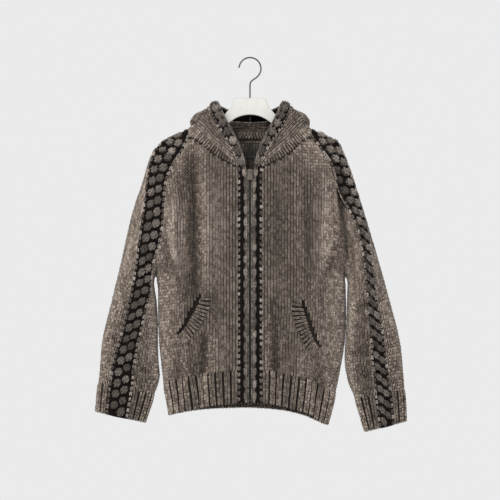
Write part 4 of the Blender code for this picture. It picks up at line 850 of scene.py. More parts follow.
@dataclass
class Knit:
    """Gauge of a knitted piece and the stitches that it puts on a grid.

    Attributes:
        wale: width of one stitch.
        course: height of one stitch.
        height: how thick the yarn stands.
        least: least width of the last wale beside the far edge, as a share of a wale.
    """

    wale: float = WALE
    course: float = COURSE
    height: float = 0.0036
    least: float = 0.65

    SIZE_SPREAD, HEIGHT_SPREAD, TONE_SPREAD = 0.05, 0.12, 0.22

    def rows_at(self, grid: ClothGrid) -> Array:
        """Fractional rows of the courses, evenly spaced along a piece."""
        step = np.linalg.norm(np.diff(grid.points, axis=0), axis=-1)
        length = np.concatenate([[0], np.cumsum(step.mean(1))])
        count = max(1, round(length[-1] / self.course))
        return np.interp((np.arange(count) + 0.5) / count * length[-1], length, np.arange(len(length)))

    def stitches(self, grid: ClothGrid, wanted: Wanted | None = None, columns: Array | None = None,
                 scale: Array | None = None) -> Planting:
        """Stitches over a grid.

        Args:
            grid: the surface.
            wanted: tells from rows, columns and points which stitches stay.
            columns: fractional columns of the wales; without them the wales are evenly spaced.
            scale: width of each given wale.

        Returns:
            The places of the stitches.
        """
        rows = self.rows_at(grid)
        all_i, all_j, heights, widths = [], [], [], []
        for number, i in enumerate(rows):
            line, _ = grid.at(np.full(grid.points.shape[1], i), np.arange(grid.points.shape[1]))
            arcs = travelled(line)
            if columns is None:
                count = max(0, int(arcs[-1] / self.wale - self.least))
                rest = arcs[-1] - count * self.wale
                centres = np.append((np.arange(count) + 0.5) * self.wale, arcs[-1] - rest / 2)
                at = np.interp(centres, arcs, np.arange(len(arcs)))
                width = np.append(np.full(count, self.wale), rest)
            else:
                at, width = columns, scale
            other = rows[number + 1] if number + 1 < len(rows) else rows[number - 1]
            near, _ = grid.at(np.full(len(at), i), at)
            far, _ = grid.at(np.full(len(at), other), at)
            all_i.append(np.full(len(at), i))
            all_j.append(at)
            heights.append(np.linalg.norm(far - near, axis=1))
            widths.append(width)
        i, j = np.concatenate(all_i), np.concatenate(all_j)
        height, width = np.concatenate(heights), np.concatenate(widths)
        if wanted is not None:
            points, _ = grid.at(i, j)
            keep = wanted(i, j, points)
            i, j, height, width = i[keep], j[keep], height[keep], width[keep]
        count = len(i)
        size = np.stack([
            width * Chance.about(1.0, self.SIZE_SPREAD, count),
            height * Chance.about(1.0, self.SIZE_SPREAD, count),
            self.height * Chance.about(1.0, self.HEIGHT_SPREAD, count)], -1)
        return plant_rows(grid, i, j, size, Chance.about(YARN_TONE, self.TONE_SPREAD, count))


def put(name: str, data: bpy.types.ID) -> bpy.types.Object:
    """A new object in the scene, with the given data."""
    made = bpy.data.objects.new(name, data)
    bpy.context.scene.collection.objects.link(made)
    return made


def closed_mesh(name: str, points: list, faces: list) -> bpy.types.Mesh:
    """A closed, smooth mesh with its faces outward.

    Args:
        name: the mesh's name.
        points: its places.
        faces: its faces, by the numbers of their points.

    Returns:
        The mesh.
    """
    mesh = bpy.data.meshes.new(name)
    mesh.from_pydata([tuple(map(float, p)) for p in points], [], faces)
    work = bmesh.new()
    work.from_mesh(mesh)
    bmesh.ops.recalc_face_normals(work, faces=work.faces)
    work.to_mesh(mesh)
    work.free()
    mesh.shade_smooth()
    return mesh


def prism(count: int) -> list[tuple[int, ...]]:
    """Faces of a prism whose two outlines have a number of points each, one after the other."""
    sides = [(k, (k + 1) % count, count + (k + 1) % count, count + k) for k in range(count)]
    return [tuple(range(count)), tuple(range(2 * count - 1, count - 1, -1)), *sides]


@dataclass
class ShapeKit:
    """Small shapes that are planted many times, each within about one unit."""

    made: dict[str, bpy.types.Object] = field(default_factory=dict)

    LEG_RINGS = ((0.07, -0.78, 0.0, 0.0), (0.160, -0.32, 0.138, 0.80), (0.262, 0.26, 0.138, 0.82),
                 (0.31, 0.78, 0.0, 0.0))
    LEG_TILT = (0.978, -0.208)
    LEG_FOOT = -0.25
    PUFF_RINGS = ((0.35, 0.71), (0.60, 0.56), (0.80, 0.33), (0.92, 0.08), (0.95, -0.12))
    PUFF_TOP, PUFF_REACH, PUFF_YARN = 0.76, 0.86, 0.36
    TOOTH_OUTLINE = ((-0.5, -0.5), (0.15, -0.5), (0.5, -0.25), (0.5, 0.25), (0.15, 0.5), (-0.5, 0.5))

    def keep(self, name: str, points: list, faces: list) -> bpy.types.Object:
        """Stores a template object."""
        self.made[name] = put(name, closed_mesh("template", points, faces))
        return self.made[name]

    def leg(self, centre: tuple[float, float, float], scale: tuple[float, float, float], hand: float,
            points: list, faces: list) -> None:
        """Adds one leg of a stitch, thin at its ends and plump between.

        Args:
            centre: the stitch's place.
            scale: its size in X, Y and Z.
            hand: -1 for the left leg, +1 for the right one.
            points: takes the leg's points.
            faces: takes its faces.
        """
        first, tilt = len(points), self.LEG_TILT
        for x, y, half, top in self.LEG_RINGS:
            places = [(x, y, top)] if half == 0 else [
                (x - tilt[0] * half, y - tilt[1] * half, self.LEG_FOOT), (x, y, top),
                (x + tilt[0] * half, y + tilt[1] * half, self.LEG_FOOT)]
            for px, py, pz in places:
                points.append((centre[0] + hand * px * scale[0], centre[1] + py * scale[1],
                               centre[2] + pz * scale[2]))
        a, r, q, b = first, (first + 1, first + 2, first + 3), (first + 4, first + 5, first + 6), first + 7
        faces += [(a, r[0], r[1]), (a, r[1], r[2]), (a, r[2], r[0])]
        faces += [(r[k], q[k], q[(k + 1) % 3], r[(k + 1) % 3]) for k in range(3)]
        faces += [(b, q[1], q[0]), (b, q[2], q[1]), (b, q[0], q[2])]

    def stitch(self) -> bpy.types.Object:
        """One stocking stitch, a V of two legs."""
        points, faces = [], []
        for hand in (-1.0, 1.0):
            self.leg((0, 0, 0), (1, 1, 1), hand, points, faces)
        return self.keep("stitch", points, faces)

    def puff(self, name: str, wales: int, courses: int, segments: int = 14) -> bpy.types.Object:
        """A rounded knot of yarn with stitches over it, one unit wide, long and high.

        Args:
            name: the template's name.
            wales: stitches across it.
            courses: stitches along it.
            segments: points round it.

        Returns:
            The template.
        """
        points, faces, rings = [(0, 0, self.PUFF_TOP)], [], self.PUFF_RINGS
        for share, height in rings:
            for k in range(segments):
                angle = 2 * math.pi * k / segments
                points.append((0.5 * share * math.cos(angle), 0.5 * share * math.sin(angle), height))
        for k in range(segments):
            after = (k + 1) % segments
            faces.append((0, 1 + k, 1 + after))
            for ring in range(len(rings) - 1):
                low = 1 + ring * segments
                faces.append((low + k, low + segments + k, low + segments + after, low + after))
        last = 1 + (len(rings) - 1) * segments
        faces.append(tuple(last + k for k in range(segments)))
        core = len(points)
        width, height = 0.90 / wales, 0.92 / courses
        for column in range(wales):
            for row in range(courses):
                x, y = (column - (wales - 1) / 2) * width, (row - (courses - 1) / 2) * height
                reach = math.hypot(x / 0.5, y / 0.5)
                if reach > self.PUFF_REACH:
                    continue
                z = 0.78 * math.sqrt(1 - reach**2.3) - 0.02
                for hand in (-1.0, 1.0):
                    self.leg((x, y, z), (width, height, self.PUFF_YARN), hand, points, faces)
        made = self.keep(name, points, faces)
        # the knot's core is marked for painted shade, so it shows darker between its stitches
        painted_core_shade = made.data.attributes.new("painted_core_shade", "FLOAT", "POINT")
        painted_core_shade.data.foreach_set("value", (np.arange(len(points)) < core).astype(np.float32))
        return made

    def tooth(self) -> bpy.types.Object:
        """A zip tooth: a small block with a rounded nose."""
        points = [(x, y, z) for z in (-0.5, 0.5) for x, y in self.TOOTH_OUTLINE]
        made = self.keep("tooth", points, prism(len(self.TOOTH_OUTLINE)))
        made.data.shade_flat()
        return made

    def clear(self) -> None:
        """Removes the templates."""
        for made in self.made.values():
            bpy.data.objects.remove(made)
        self.made.clear()


class NodeSketch:
    """Short calls for building a node tree."""

    def __init__(self, tree: bpy.types.NodeTree) -> None:
        """Keeps the tree."""
        self.tree = tree

    def add(self, kind: str, **settings: object) -> bpy.types.Node:
        """Adds a node.

        Args:
            kind: the node's type.
            settings: its settings, and under inputs its sockets' links or values by name or number.

        Returns:
            The node.
        """
        node = self.tree.nodes.new(kind)
        inputs = settings.pop("inputs", {})
        for name, value in settings.items():
            setattr(node, name, value)
        for key, value in inputs.items():
            if isinstance(value, bpy.types.NodeSocket):
                self.tree.links.new(value, node.inputs[key])
            else:
                node.inputs[key].default_value = value
        return node

    def math(self, operation: str, a: Value, b: Value = 0.0, clamp: bool = False) -> bpy.types.NodeSocket:
        """A sum of two sockets or numbers."""
        kind = "ShaderNodeMath"
        return self.add(kind, operation=operation, use_clamp=clamp, inputs={0: a, 1: b}).outputs[0]

    def feed(self, node: bpy.types.Node, **values: bpy.types.NodeSocket) -> None:
        """Links values to a node's inputs, whose names are given with _ for each space."""
        for name, value in values.items():
            self.tree.links.new(value, node.inputs[name.replace("_", " ")])

    def noise(self, place: bpy.types.NodeSocket, **values: float) -> bpy.types.NodeSocket:
        """A noise pattern, with the inputs that are given."""
        inputs = {"Vector": place, **values}
        return self.add("ShaderNodeTexNoise", inputs=inputs).outputs["Fac"]

    def bump(self, height: bpy.types.NodeSocket, strength: float, distance: float) -> bpy.types.NodeSocket:
        """Normals bent by a height."""
        inputs = {"Height": height, "Strength": strength, "Distance": distance}
        return self.add("ShaderNodeBump", inputs=inputs).outputs["Normal"]


class Workshop:
    """Geometry Nodes trees, and the plain meshes that they turn into."""

    SEED = 5

    def __init__(self) -> None:
        """Builds the trees."""
        self.planter = self.planting_tree()
        self.wire = self.wire_tree()

    @staticmethod
    def sockets(tree: bpy.types.NodeTree, rows: list[tuple[str, str, object]]) -> dict[str, str]:
        """Adds named inputs to a tree.

        Args:
            tree: the tree.
            rows: name, socket type and default value of each input.

        Returns:
            Each input's identifier by its name.
        """
        found = {}
        for name, kind, value in rows:
            socket = tree.interface.new_socket(name, in_out="INPUT", socket_type=kind)
            if value is not None:
                socket.default_value = value
            found[name] = socket.identifier
        tree.interface.new_socket("Geometry", in_out="OUTPUT", socket_type="NodeSocketGeometry")
        return found

    def planting_tree(self) -> tuple[bpy.types.NodeTree, dict[str, str]]:
        """The tree that plants a shape on points."""
        tree = bpy.data.node_groups.new("plant_stitches", "GeometryNodeTree")
        found = self.sockets(tree, [
            ("Geometry", "NodeSocketGeometry", None), ("Shape", "NodeSocketObject", None),
            ("Finish", "NodeSocketMaterial", None), ("Unevenness", "NodeSocketFloat", 0.04),
            ("Seed", "NodeSocketInt", self.SEED)])
        sketch = NodeSketch(tree)
        given = sketch.add("NodeGroupInput").outputs

        def named(name: str) -> bpy.types.NodeSocket:
            """One of the vectors that the points carry."""
            node = sketch.add("GeometryNodeInputNamedAttribute", data_type="FLOAT_VECTOR")
            node.inputs["Name"].default_value = name
            return node.outputs["Attribute"]

        shape = sketch.add("GeometryNodeObjectInfo", inputs={"Object": given["Shape"]})
        turn = sketch.add("FunctionNodeAxesToRotation", primary_axis="Z", secondary_axis="Y",
                          inputs={"Primary Axis": named("out"), "Secondary Axis": named("along")})
        low = sketch.math("SUBTRACT", 1.0, given["Unevenness"])
        high = sketch.math("ADD", 1.0, given["Unevenness"])
        uneven = sketch.add("FunctionNodeRandomValue", data_type="FLOAT")
        floats = [s for s in uneven.inputs if s.type == "VALUE" and s.name in ("Min", "Max")]
        tree.links.new(low, floats[0])
        tree.links.new(high, floats[1])
        tree.links.new(given["Seed"], uneven.inputs["Seed"])
        drawn = [s for s in uneven.outputs if s.type == "VALUE"][0]
        size = sketch.add("ShaderNodeVectorMath", operation="SCALE",
                          inputs={0: named("size"), "Scale": drawn})
        placed = sketch.add("GeometryNodeInstanceOnPoints", inputs={
            "Points": given["Geometry"], "Instance": shape.outputs["Geometry"],
            "Rotation": turn.outputs[0], "Scale": size.outputs[0]})
        real = sketch.add("GeometryNodeRealizeInstances", inputs={"Geometry": placed.outputs[0]})
        dressed = sketch.add("GeometryNodeSetMaterial", inputs={
            "Geometry": real.outputs[0], "Material": given["Finish"]})
        sketch.add("NodeGroupOutput", inputs={0: dressed.outputs[0]})
        return tree, found

    def wire_tree(self) -> tuple[bpy.types.NodeTree, dict[str, str]]:
        """The tree that turns a line of points into a round wire or thread."""
        tree = bpy.data.node_groups.new("draw_wire", "GeometryNodeTree")
        found = self.sockets(tree, [
            ("Geometry", "NodeSocketGeometry", None), ("Radius", "NodeSocketFloat", 0.001),
            ("Sides", "NodeSocketInt", 12), ("Finish", "NodeSocketMaterial", None)])
        sketch = NodeSketch(tree)
        given = sketch.add("NodeGroupInput").outputs
        path = sketch.add("GeometryNodeMeshToCurve", inputs={"Mesh": given["Geometry"]})
        ring = sketch.add("GeometryNodeCurvePrimitiveCircle", inputs={
            "Resolution": given["Sides"], "Radius": given["Radius"]})
        tube = sketch.add("GeometryNodeCurveToMesh", inputs={
            "Curve": path.outputs[0], "Profile Curve": ring.outputs[0], "Fill Caps": True})
        soft = sketch.add("GeometryNodeSetShadeSmooth", inputs={"Geometry": tube.outputs[0]})
        dressed = sketch.add("GeometryNodeSetMaterial", inputs={
            "Geometry": soft.outputs[0], "Material": given["Finish"]})
        sketch.add("NodeGroupOutput", inputs={0: dressed.outputs[0]})
        return tree, found

    @staticmethod
    def run(name: str, source: bpy.types.Object, tree: tuple, values: dict[str, object]) -> bpy.types.Object:
        """Runs a tree on an object and keeps its result as a plain mesh.

        Args:
            name: the result's name.
            source: the object, which is removed.
            tree: the tree, and its inputs' identifiers by name.
            values: values for its inputs by name.

        Returns:
            The result.
        """
        modifier = source.modifiers.new("tree", "NODES")
        modifier.node_group = tree[0]
        for key, value in values.items():
            modifier[tree[1][key]] = value
        graph = bpy.context.evaluated_depsgraph_get()
        graph.update()
        mesh = bpy.data.meshes.new_from_object(source.evaluated_get(graph), depsgraph=graph)
        mesh.name = name
        made = put(name, mesh)
        bpy.data.objects.remove(source)
        return made

    def plant(self, name: str, planting: Planting, shape: bpy.types.Object, finish: bpy.types.Material,
              unevenness: float = 0.04) -> bpy.types.Object:
        """Plants a shape at every place of a planting.

        Args:
            name: the piece's name.
            planting: the places.
            shape: the template.
            finish: the piece's material.
            unevenness: how far the copies' sizes stray, as a share.

        Returns:
            The piece.
        """
        mesh = bpy.data.meshes.new(name + "_points")
        mesh.from_pydata([tuple(map(float, p)) for p in planting.points], [], [])
        for label, values in (("out", planting.out), ("along", planting.along), ("size", planting.size)):
            store = mesh.attributes.new(label, "FLOAT_VECTOR", "POINT")
            store.data.foreach_set("vector", np.ascontiguousarray(values, np.float32).ravel())
        store = mesh.attributes.new("tone", "FLOAT", "POINT")
        store.data.foreach_set("value", planting.tone.astype(np.float32))
        made = self.run(name, put(name + "_points", mesh), self.planter, {
            "Shape": shape, "Finish": finish, "Unevenness": unevenness, "Seed": self.SEED})
        for label in ("out", "along", "size"):
            kept = made.data.attributes.get(label)
            if kept:
                made.data.attributes.remove(kept)
        return made

    def draw(self, name: str, lines: list[Array], radius: float, sides: int,
             finish: bpy.types.Material) -> bpy.types.Object:
        """Draws open lines of points as wires.

        Args:
            name: the piece's name.
            lines: the lines' points.
            radius: radius of the wire.
            sides: sides of its section.
            finish: the piece's material.

        Returns:
            The piece.
        """
        mesh = bpy.data.meshes.new(name + "_path")
        points, edges = [], []
        for line in lines:
            edges += [(len(points) + k, len(points) + k + 1) for k in range(len(line) - 1)]
            points += [tuple(map(float, p)) for p in line]
        mesh.from_pydata(points, edges, [])
        values = {"Radius": radius, "Sides": sides, "Finish": finish}
        return self.run(name, put(name + "_path", mesh), self.wire, values)


def linear(red: int, green: int, blue: int) -> Colour:
    """An sRGB colour from 0 to 255 as linear values."""
    shares = [c / 255 for c in (red, green, blue)]
    return tuple(((c + 0.055) / 1.055) ** 2.4 if c > 0.04045 else c / 12.92 for c in shares)


def plain_shader(name: str) -> tuple[bpy.types.Material, NodeSketch, bpy.types.Node]:
    """A new material with nodes, the sketch of its tree, and its shader."""
    made = bpy.data.materials.new(name)
    made.use_nodes = True
    return made, NodeSketch(made.node_tree), made.node_tree.nodes["Principled BSDF"]


@dataclass(frozen=True)
class YarnFinish:
    """Woolly marled yarn.

    Attributes:
        name: material name.
        dark: colour of the darkest fibres.
        middle: colour of most fibres.
        light: colour of the palest fibres.
        fleck: how strongly pale and dark fibres show.
        fuzz: bump height of the fibres.
        sheen: how much the loose fibres glow at the edges.
    """

    name: str
    dark: Colour
    middle: Colour
    light: Colour
    fleck: float = 0.5
    fuzz: float = 0.0007
    sheen: float = 0.14

    CLOUD_WEIGHT, TONE_WEIGHT, HOLLOW_WEIGHT, LIFT = 0.10, 0.85, 0.40, 0.08

    def build(self) -> bpy.types.Material:
        """Makes the material."""
        made, sketch, shader = plain_shader(self.name)
        place = sketch.add("ShaderNodeTexCoord").outputs["Object"]
        marl = sketch.noise(place, Scale=330.0, Detail=3.0, Roughness=0.6)
        cloud = sketch.noise(place, Scale=16.0, Detail=2.0)
        # tone: random lightness of each stitch, plus painted shade in crease troughs and painted light on
        # ridges
        tone = sketch.add("ShaderNodeAttribute", attribute_name="tone").outputs["Fac"]
        mix = sketch.math("MULTIPLY", sketch.math("SUBTRACT", marl, 0.5), 2.2 * self.fleck)
        drift = sketch.math("MULTIPLY", sketch.math("SUBTRACT", cloud, 0.5), self.CLOUD_WEIGHT)
        mix = sketch.math("ADD", mix, drift)
        mix = sketch.math("ADD", mix, sketch.math("MULTIPLY", tone, self.TONE_WEIGHT))
        # painted shade: a bobble's core is darkened where it shows between the stitches
        painted_core_shade = sketch.add("ShaderNodeAttribute", attribute_name="painted_core_shade").outputs["Fac"]
        mix = sketch.math("SUBTRACT", mix, sketch.math("MULTIPLY", painted_core_shade, self.HOLLOW_WEIGHT))
        mix = sketch.math("ADD", mix, self.LIFT, clamp=True)
        ramp = sketch.add("ShaderNodeValToRGB", inputs={"Fac": mix})
        stops = ramp.color_ramp.elements
        stops[0].position, stops[1].position = 0.05, 0.95
        stops[0].color, stops[1].color = (*self.dark, 1), (*self.light, 1)
        stops.new(0.5).color = (*self.middle, 1)
        fibre = sketch.noise(place, Scale=900.0, Detail=4.0, Roughness=0.7)
        sketch.feed(shader, Base_Color=ramp.outputs["Color"], Normal=sketch.bump(fibre, 0.7, self.fuzz))
        shader.inputs["Roughness"].default_value = 0.95
        shader.inputs["Specular IOR Level"].default_value = 0.15
        shader.inputs["Sheen Weight"].default_value = self.sheen
        shader.inputs["Sheen Roughness"].default_value = 0.55
        return made


@dataclass(frozen=True)
class WovenFinish:
    """Plain or ribbed woven cloth, such as zip tape, pocket cloth and label ribbon.

    Attributes:
        name: material name.
        warp: colour of the threads that run along.
        weft: colour of the threads that run across.
        pitch: spacing of the threads.
        roughness: roughness of the cloth.
        relief: bump height of the weave.
    """

    name: str
    warp: Colour
    weft: Colour
    pitch: float
    roughness: float = 0.8
    relief: float = 0.0002

    def build(self) -> bpy.types.Material:
        """Makes the material, on the piece's own map in metres."""
        made, sketch, shader = plain_shader(self.name)
        place = sketch.add("ShaderNodeTexCoord").outputs["UV"]
        apart = sketch.add("ShaderNodeSeparateXYZ", inputs={0: place}).outputs
        turns = 2 * math.pi / self.pitch
        across = sketch.math("SINE", sketch.math("MULTIPLY", apart[0], turns))
        along = sketch.math("SINE", sketch.math("MULTIPLY", apart[1], turns))
        checks = sketch.math("MULTIPLY", across, along)
        share = sketch.math("ADD", sketch.math("MULTIPLY", checks, 0.5), 0.5, clamp=True)
        wear = sketch.noise(sketch.add("ShaderNodeTexCoord").outputs["Object"], Scale=60.0)
        share = sketch.math("MULTIPLY", share, sketch.math("ADD", wear, 0.5), clamp=True)
        ramp = sketch.add("ShaderNodeValToRGB", inputs={"Fac": share})
        stops = ramp.color_ramp.elements
        stops[0].color, stops[1].color = (*self.warp, 1), (*self.weft, 1)
        sketch.feed(shader, Base_Color=ramp.outputs["Color"], Normal=sketch.bump(checks, 0.6, self.relief))
        shader.inputs["Roughness"].default_value = self.roughness
        shader.inputs["Sheen Weight"].default_value = 0.10
        return made


@dataclass(frozen=True)
class HardFinish:
    """Painted plastic or worn metal.

    Attributes:
        name: material name.
        base: main colour.
        worn: colour of scuffed or tarnished places.
        roughness: middle roughness.
        metallic: 1 for metal.
        grain: scale of the surface's unevenness.
        relief: bump height.
    """

    name: str
    base: Colour
    worn: Colour
    roughness: float
    metallic: float = 0.0
    grain: float = 200.0
    relief: float = 0.00005

    def build(self) -> bpy.types.Material:
        """Makes the material."""
        made, sketch, shader = plain_shader(self.name)
        place = sketch.add("ShaderNodeTexCoord").outputs["Object"]
        noise = sketch.noise(place, Scale=self.grain, Detail=5.0, Roughness=0.65)
        ramp = sketch.add("ShaderNodeValToRGB", inputs={"Fac": noise})
        stops = ramp.color_ramp.elements
        stops[0].position, stops[1].position = 0.35, 0.70
        stops[0].color, stops[1].color = (*self.base, 1), (*self.worn, 1)
        rough = sketch.math("ADD", sketch.math("MULTIPLY", noise, 0.25), self.roughness - 0.12, clamp=True)
        sketch.feed(shader, Base_Color=ramp.outputs["Color"], Roughness=rough,
                    Normal=sketch.bump(noise, 0.4, self.relief))
        shader.inputs["Metallic"].default_value = self.metallic
        return made


@dataclass
class Finishes:
    """Every finish of the hoodie, the hanger and the studio."""

    yarn: bpy.types.Material | None = None
    ground: bpy.types.Material | None = None
    contrast: bpy.types.Material | None = None
    puffs: bpy.types.Material | None = None
    tape: bpy.types.Material | None = None
    pocket: bpy.types.Material | None = None
    ribbon: bpy.types.Material | None = None
    plastic: bpy.types.Material | None = None
    wire: bpy.types.Material | None = None
    brass: bpy.types.Material | None = None
    teeth: bpy.types.Material | None = None

    def build(self) -> "Finishes":
        """Makes the materials."""
        dark_metal = {"metallic": 1.0, "grain": 420.0}
        self.yarn = YarnFinish("marled_yarn", linear(64, 54, 46), linear(139, 125, 113),
                               linear(216, 202, 188), fleck=0.9).build()
        # the shells under the stitches take a darker copy of the yarn: painted shade that shows between the
        # stitches and in the ribs' grooves
        self.ground = YarnFinish("shaded_yarn", linear(22, 18, 15), linear(38, 32, 28),
                                 linear(58, 50, 44), sheen=0.05).build()
        self.contrast = YarnFinish("dark_yarn", linear(10, 7, 5), linear(20, 14, 11),
                                   linear(36, 27, 22), sheen=0.02).build()
        self.puffs = YarnFinish("bobble_yarn", linear(56, 48, 43), linear(128, 118, 110),
                                linear(204, 194, 186), fleck=0.9).build()
        self.tape = WovenFinish("zip_tape_twill", linear(26, 22, 19), linear(44, 38, 34), 0.0009).build()
        self.pocket = WovenFinish("pocket_cloth", linear(40, 34, 30), linear(60, 52, 46), 0.0016).build()
        self.ribbon = WovenFinish("label_ribbon", linear(7, 6, 6), linear(13, 12, 11), 0.0007, 0.65).build()
        self.plastic = HardFinish("satin_white", linear(209, 208, 203), linear(200, 199, 193), 0.42,
                                  grain=90.0).build()
        self.wire = HardFinish("dark_nickel", linear(62, 62, 62), linear(92, 91, 88), 0.34, 1.0).build()
        self.brass = HardFinish("antique_zip_metal", linear(62, 58, 52), linear(98, 92, 84), 0.44,
                                **dark_metal).build()
        # the teeth take the zip metal painted darker than the slider's: painted shade of the gap between the
        # bands
        self.teeth = HardFinish("dark_zip_teeth", linear(34, 33, 30), linear(62, 60, 55), 0.5,
                                **dark_metal).build()
        return self


def cloth_shell(name: str, grid: ClothGrid, thickness: Array | float, finish: bpy.types.Material,
                gap: float = SEAM_GAP) -> bpy.types.Object:
    """A closed thin shell from a grid, with a map in metres across and along the cloth.

    Args:
        name: the piece's name.
        grid: its outer surface.
        thickness: one value, or one for each point.
        finish: its material.
        gap: how far its edges keep from the seam line; a negative gap closes the seam.

    Returns:
        The shell.
    """
    outer = grid.trimmed(gap)
    inner = outer.points - grid.normals * np.broadcast_to(thickness, outer.points.shape[:2])[..., None]
    rows, columns = outer.points.shape[:2]
    index = np.arange(rows * columns).reshape(rows, columns)
    under = index + rows * columns
    quads = [np.stack([index[:-1, :-1], index[:-1, 1:], index[1:, 1:], index[1:, :-1]], -1).reshape(-1, 4)]
    lower = np.stack([under[:-1, :-1], under[1:, :-1], under[1:, 1:], under[:-1, 1:]], -1)
    quads.append(lower.reshape(-1, 4))
    for line, below in ((index[0], under[0]), (index[-1], under[-1]), (index[:, 0], under[:, 0]),
                        (index[:, -1], under[:, -1])):
        quads.append(np.stack([line[:-1], line[1:], below[1:], below[:-1]], -1))
    points = np.concatenate([outer.points.reshape(-1, 3), inner.reshape(-1, 3)])
    mesh = closed_mesh(name, points.tolist(), np.concatenate(quads).tolist())
    across = np.concatenate([np.zeros((rows, 1)), np.cumsum(
        np.linalg.norm(np.diff(grid.points, axis=1), axis=-1), axis=1)], 1)
    along = np.concatenate([np.zeros((1, columns)), np.cumsum(
        np.linalg.norm(np.diff(grid.points, axis=0), axis=-1), axis=0)], 0)
    places = np.tile(np.stack([across.ravel(), along.ravel()], -1), (2, 1))
    corners = np.empty(len(mesh.loops), np.int32)
    mesh.loops.foreach_get("vertex_index", corners)
    mesh.uv_layers.new(name="cloth").data.foreach_set("uv", places[corners].astype(np.float32).ravel())
    mesh.set_sharp_from_angle(angle=math.radians(60))
    tone = mesh.attributes.new("tone", "FLOAT", "POINT")
    tone.data.foreach_set("value", np.full(len(points), YARN_TONE, np.float32))
    mesh.materials.append(finish)
    return put(name, mesh)


@dataclass
class Studio:
    """Backdrop, lights and the camera of the photograph.

    Attributes:
        pixel: metres to one of the photograph's pixels.
        origin_row: pixel row of the hook's crown.
        distance: how far the camera stands from the hanger.
    """

    pixel: float = 0.0023
    origin_row: float = 58.3
    distance: float = 5.0

    FLOOR_Z, FLOOR_HALF = -1.36, (3.0, 2.6)
    FRAME, SENSOR = 500, 36.0

    def build(self) -> None:
        """Makes the whole studio."""
        self.floor()
        self.lights()
        self.surroundings()
        self.camera()

    def floor(self) -> None:
        """A plain pale floor well below the hem."""
        x, y = self.FLOOR_HALF
        mesh = bpy.data.meshes.new("floor")
        mesh.from_pydata([(a, b, self.FLOOR_Z) for a, b in ((-x, -y), (x, -y), (x, y), (-x, y))], [],
                         [(0, 1, 2, 3)])
        mesh.materials.append(HardFinish("floor_paint", linear(233, 233, 233), linear(235, 235, 234), 0.9,
                                         grain=4.0, relief=0.0).build())
        made = put("floor", mesh)
        made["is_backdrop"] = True

    @staticmethod
    def lamp(name: str, power: float, size: float, place: tuple[float, float, float],
             target: tuple[float, float, float], colour: Colour) -> None:
        """One soft square lamp.

        Args:
            name: the lamp's name.
            power: watts.
            size: side of the square.
            place: where it stands.
            target: what it faces.
            colour: its light's colour.
        """
        data = bpy.data.lights.new(name, "AREA")
        data.energy, data.size, data.color = power, size, colour
        made = put(name, data)
        made.location = place
        made.rotation_euler = (Vector(target) - Vector(place)).to_track_quat("-Z", "Y").to_euler()

    def lights(self) -> None:
        """A soft key from the upper left, a weaker fill from the right, and a lamp behind."""
        middle = (0.0, 0.0, -0.45)
        self.lamp("key", 80.0, 1.2, (-1.0, -3.1, 1.0), middle, (1.0, 0.985, 0.965))
        self.lamp("fill", 31.0, 1.2, (0.8, -3.5, 0.3), middle, (0.97, 0.985, 1.0))
        self.lamp("back", 24.0, 2.0, (1.2, 2.6, 0.9), middle, (1.0, 1.0, 1.0))

    @staticmethod
    def surroundings() -> None:
        """A pale wall's colour all round, which lights the part more softly than it looks."""
        world = bpy.data.worlds.new("studio")
        world.use_nodes = True
        tree = world.node_tree
        sketch = NodeSketch(tree)
        seen = sketch.add("ShaderNodeLightPath").outputs["Is Camera Ray"]
        strength = sketch.math("ADD", 0.50, sketch.math("MULTIPLY", seen, 0.40))
        ground = tree.nodes["Background"]
        ground.inputs["Color"].default_value = (0.92, 0.92, 0.925, 1)
        tree.links.new(strength, ground.inputs["Strength"])
        bpy.context.scene.world = world

    def camera(self) -> None:
        """The photograph's level view from straight ahead."""
        data = bpy.data.cameras.new("camera")
        data.sensor_width = self.SENSOR
        data.lens = self.SENSOR * self.distance / (self.FRAME * self.pixel)
        made = put("camera", data)
        made.location = (0.0, -self.distance, -(self.FRAME / 2 - self.origin_row) * self.pixel)
        made.rotation_euler = (math.pi / 2, 0, 0)
        bpy.context.scene.camera = made
        bpy.context.scene.view_settings.view_transform = "Standard"


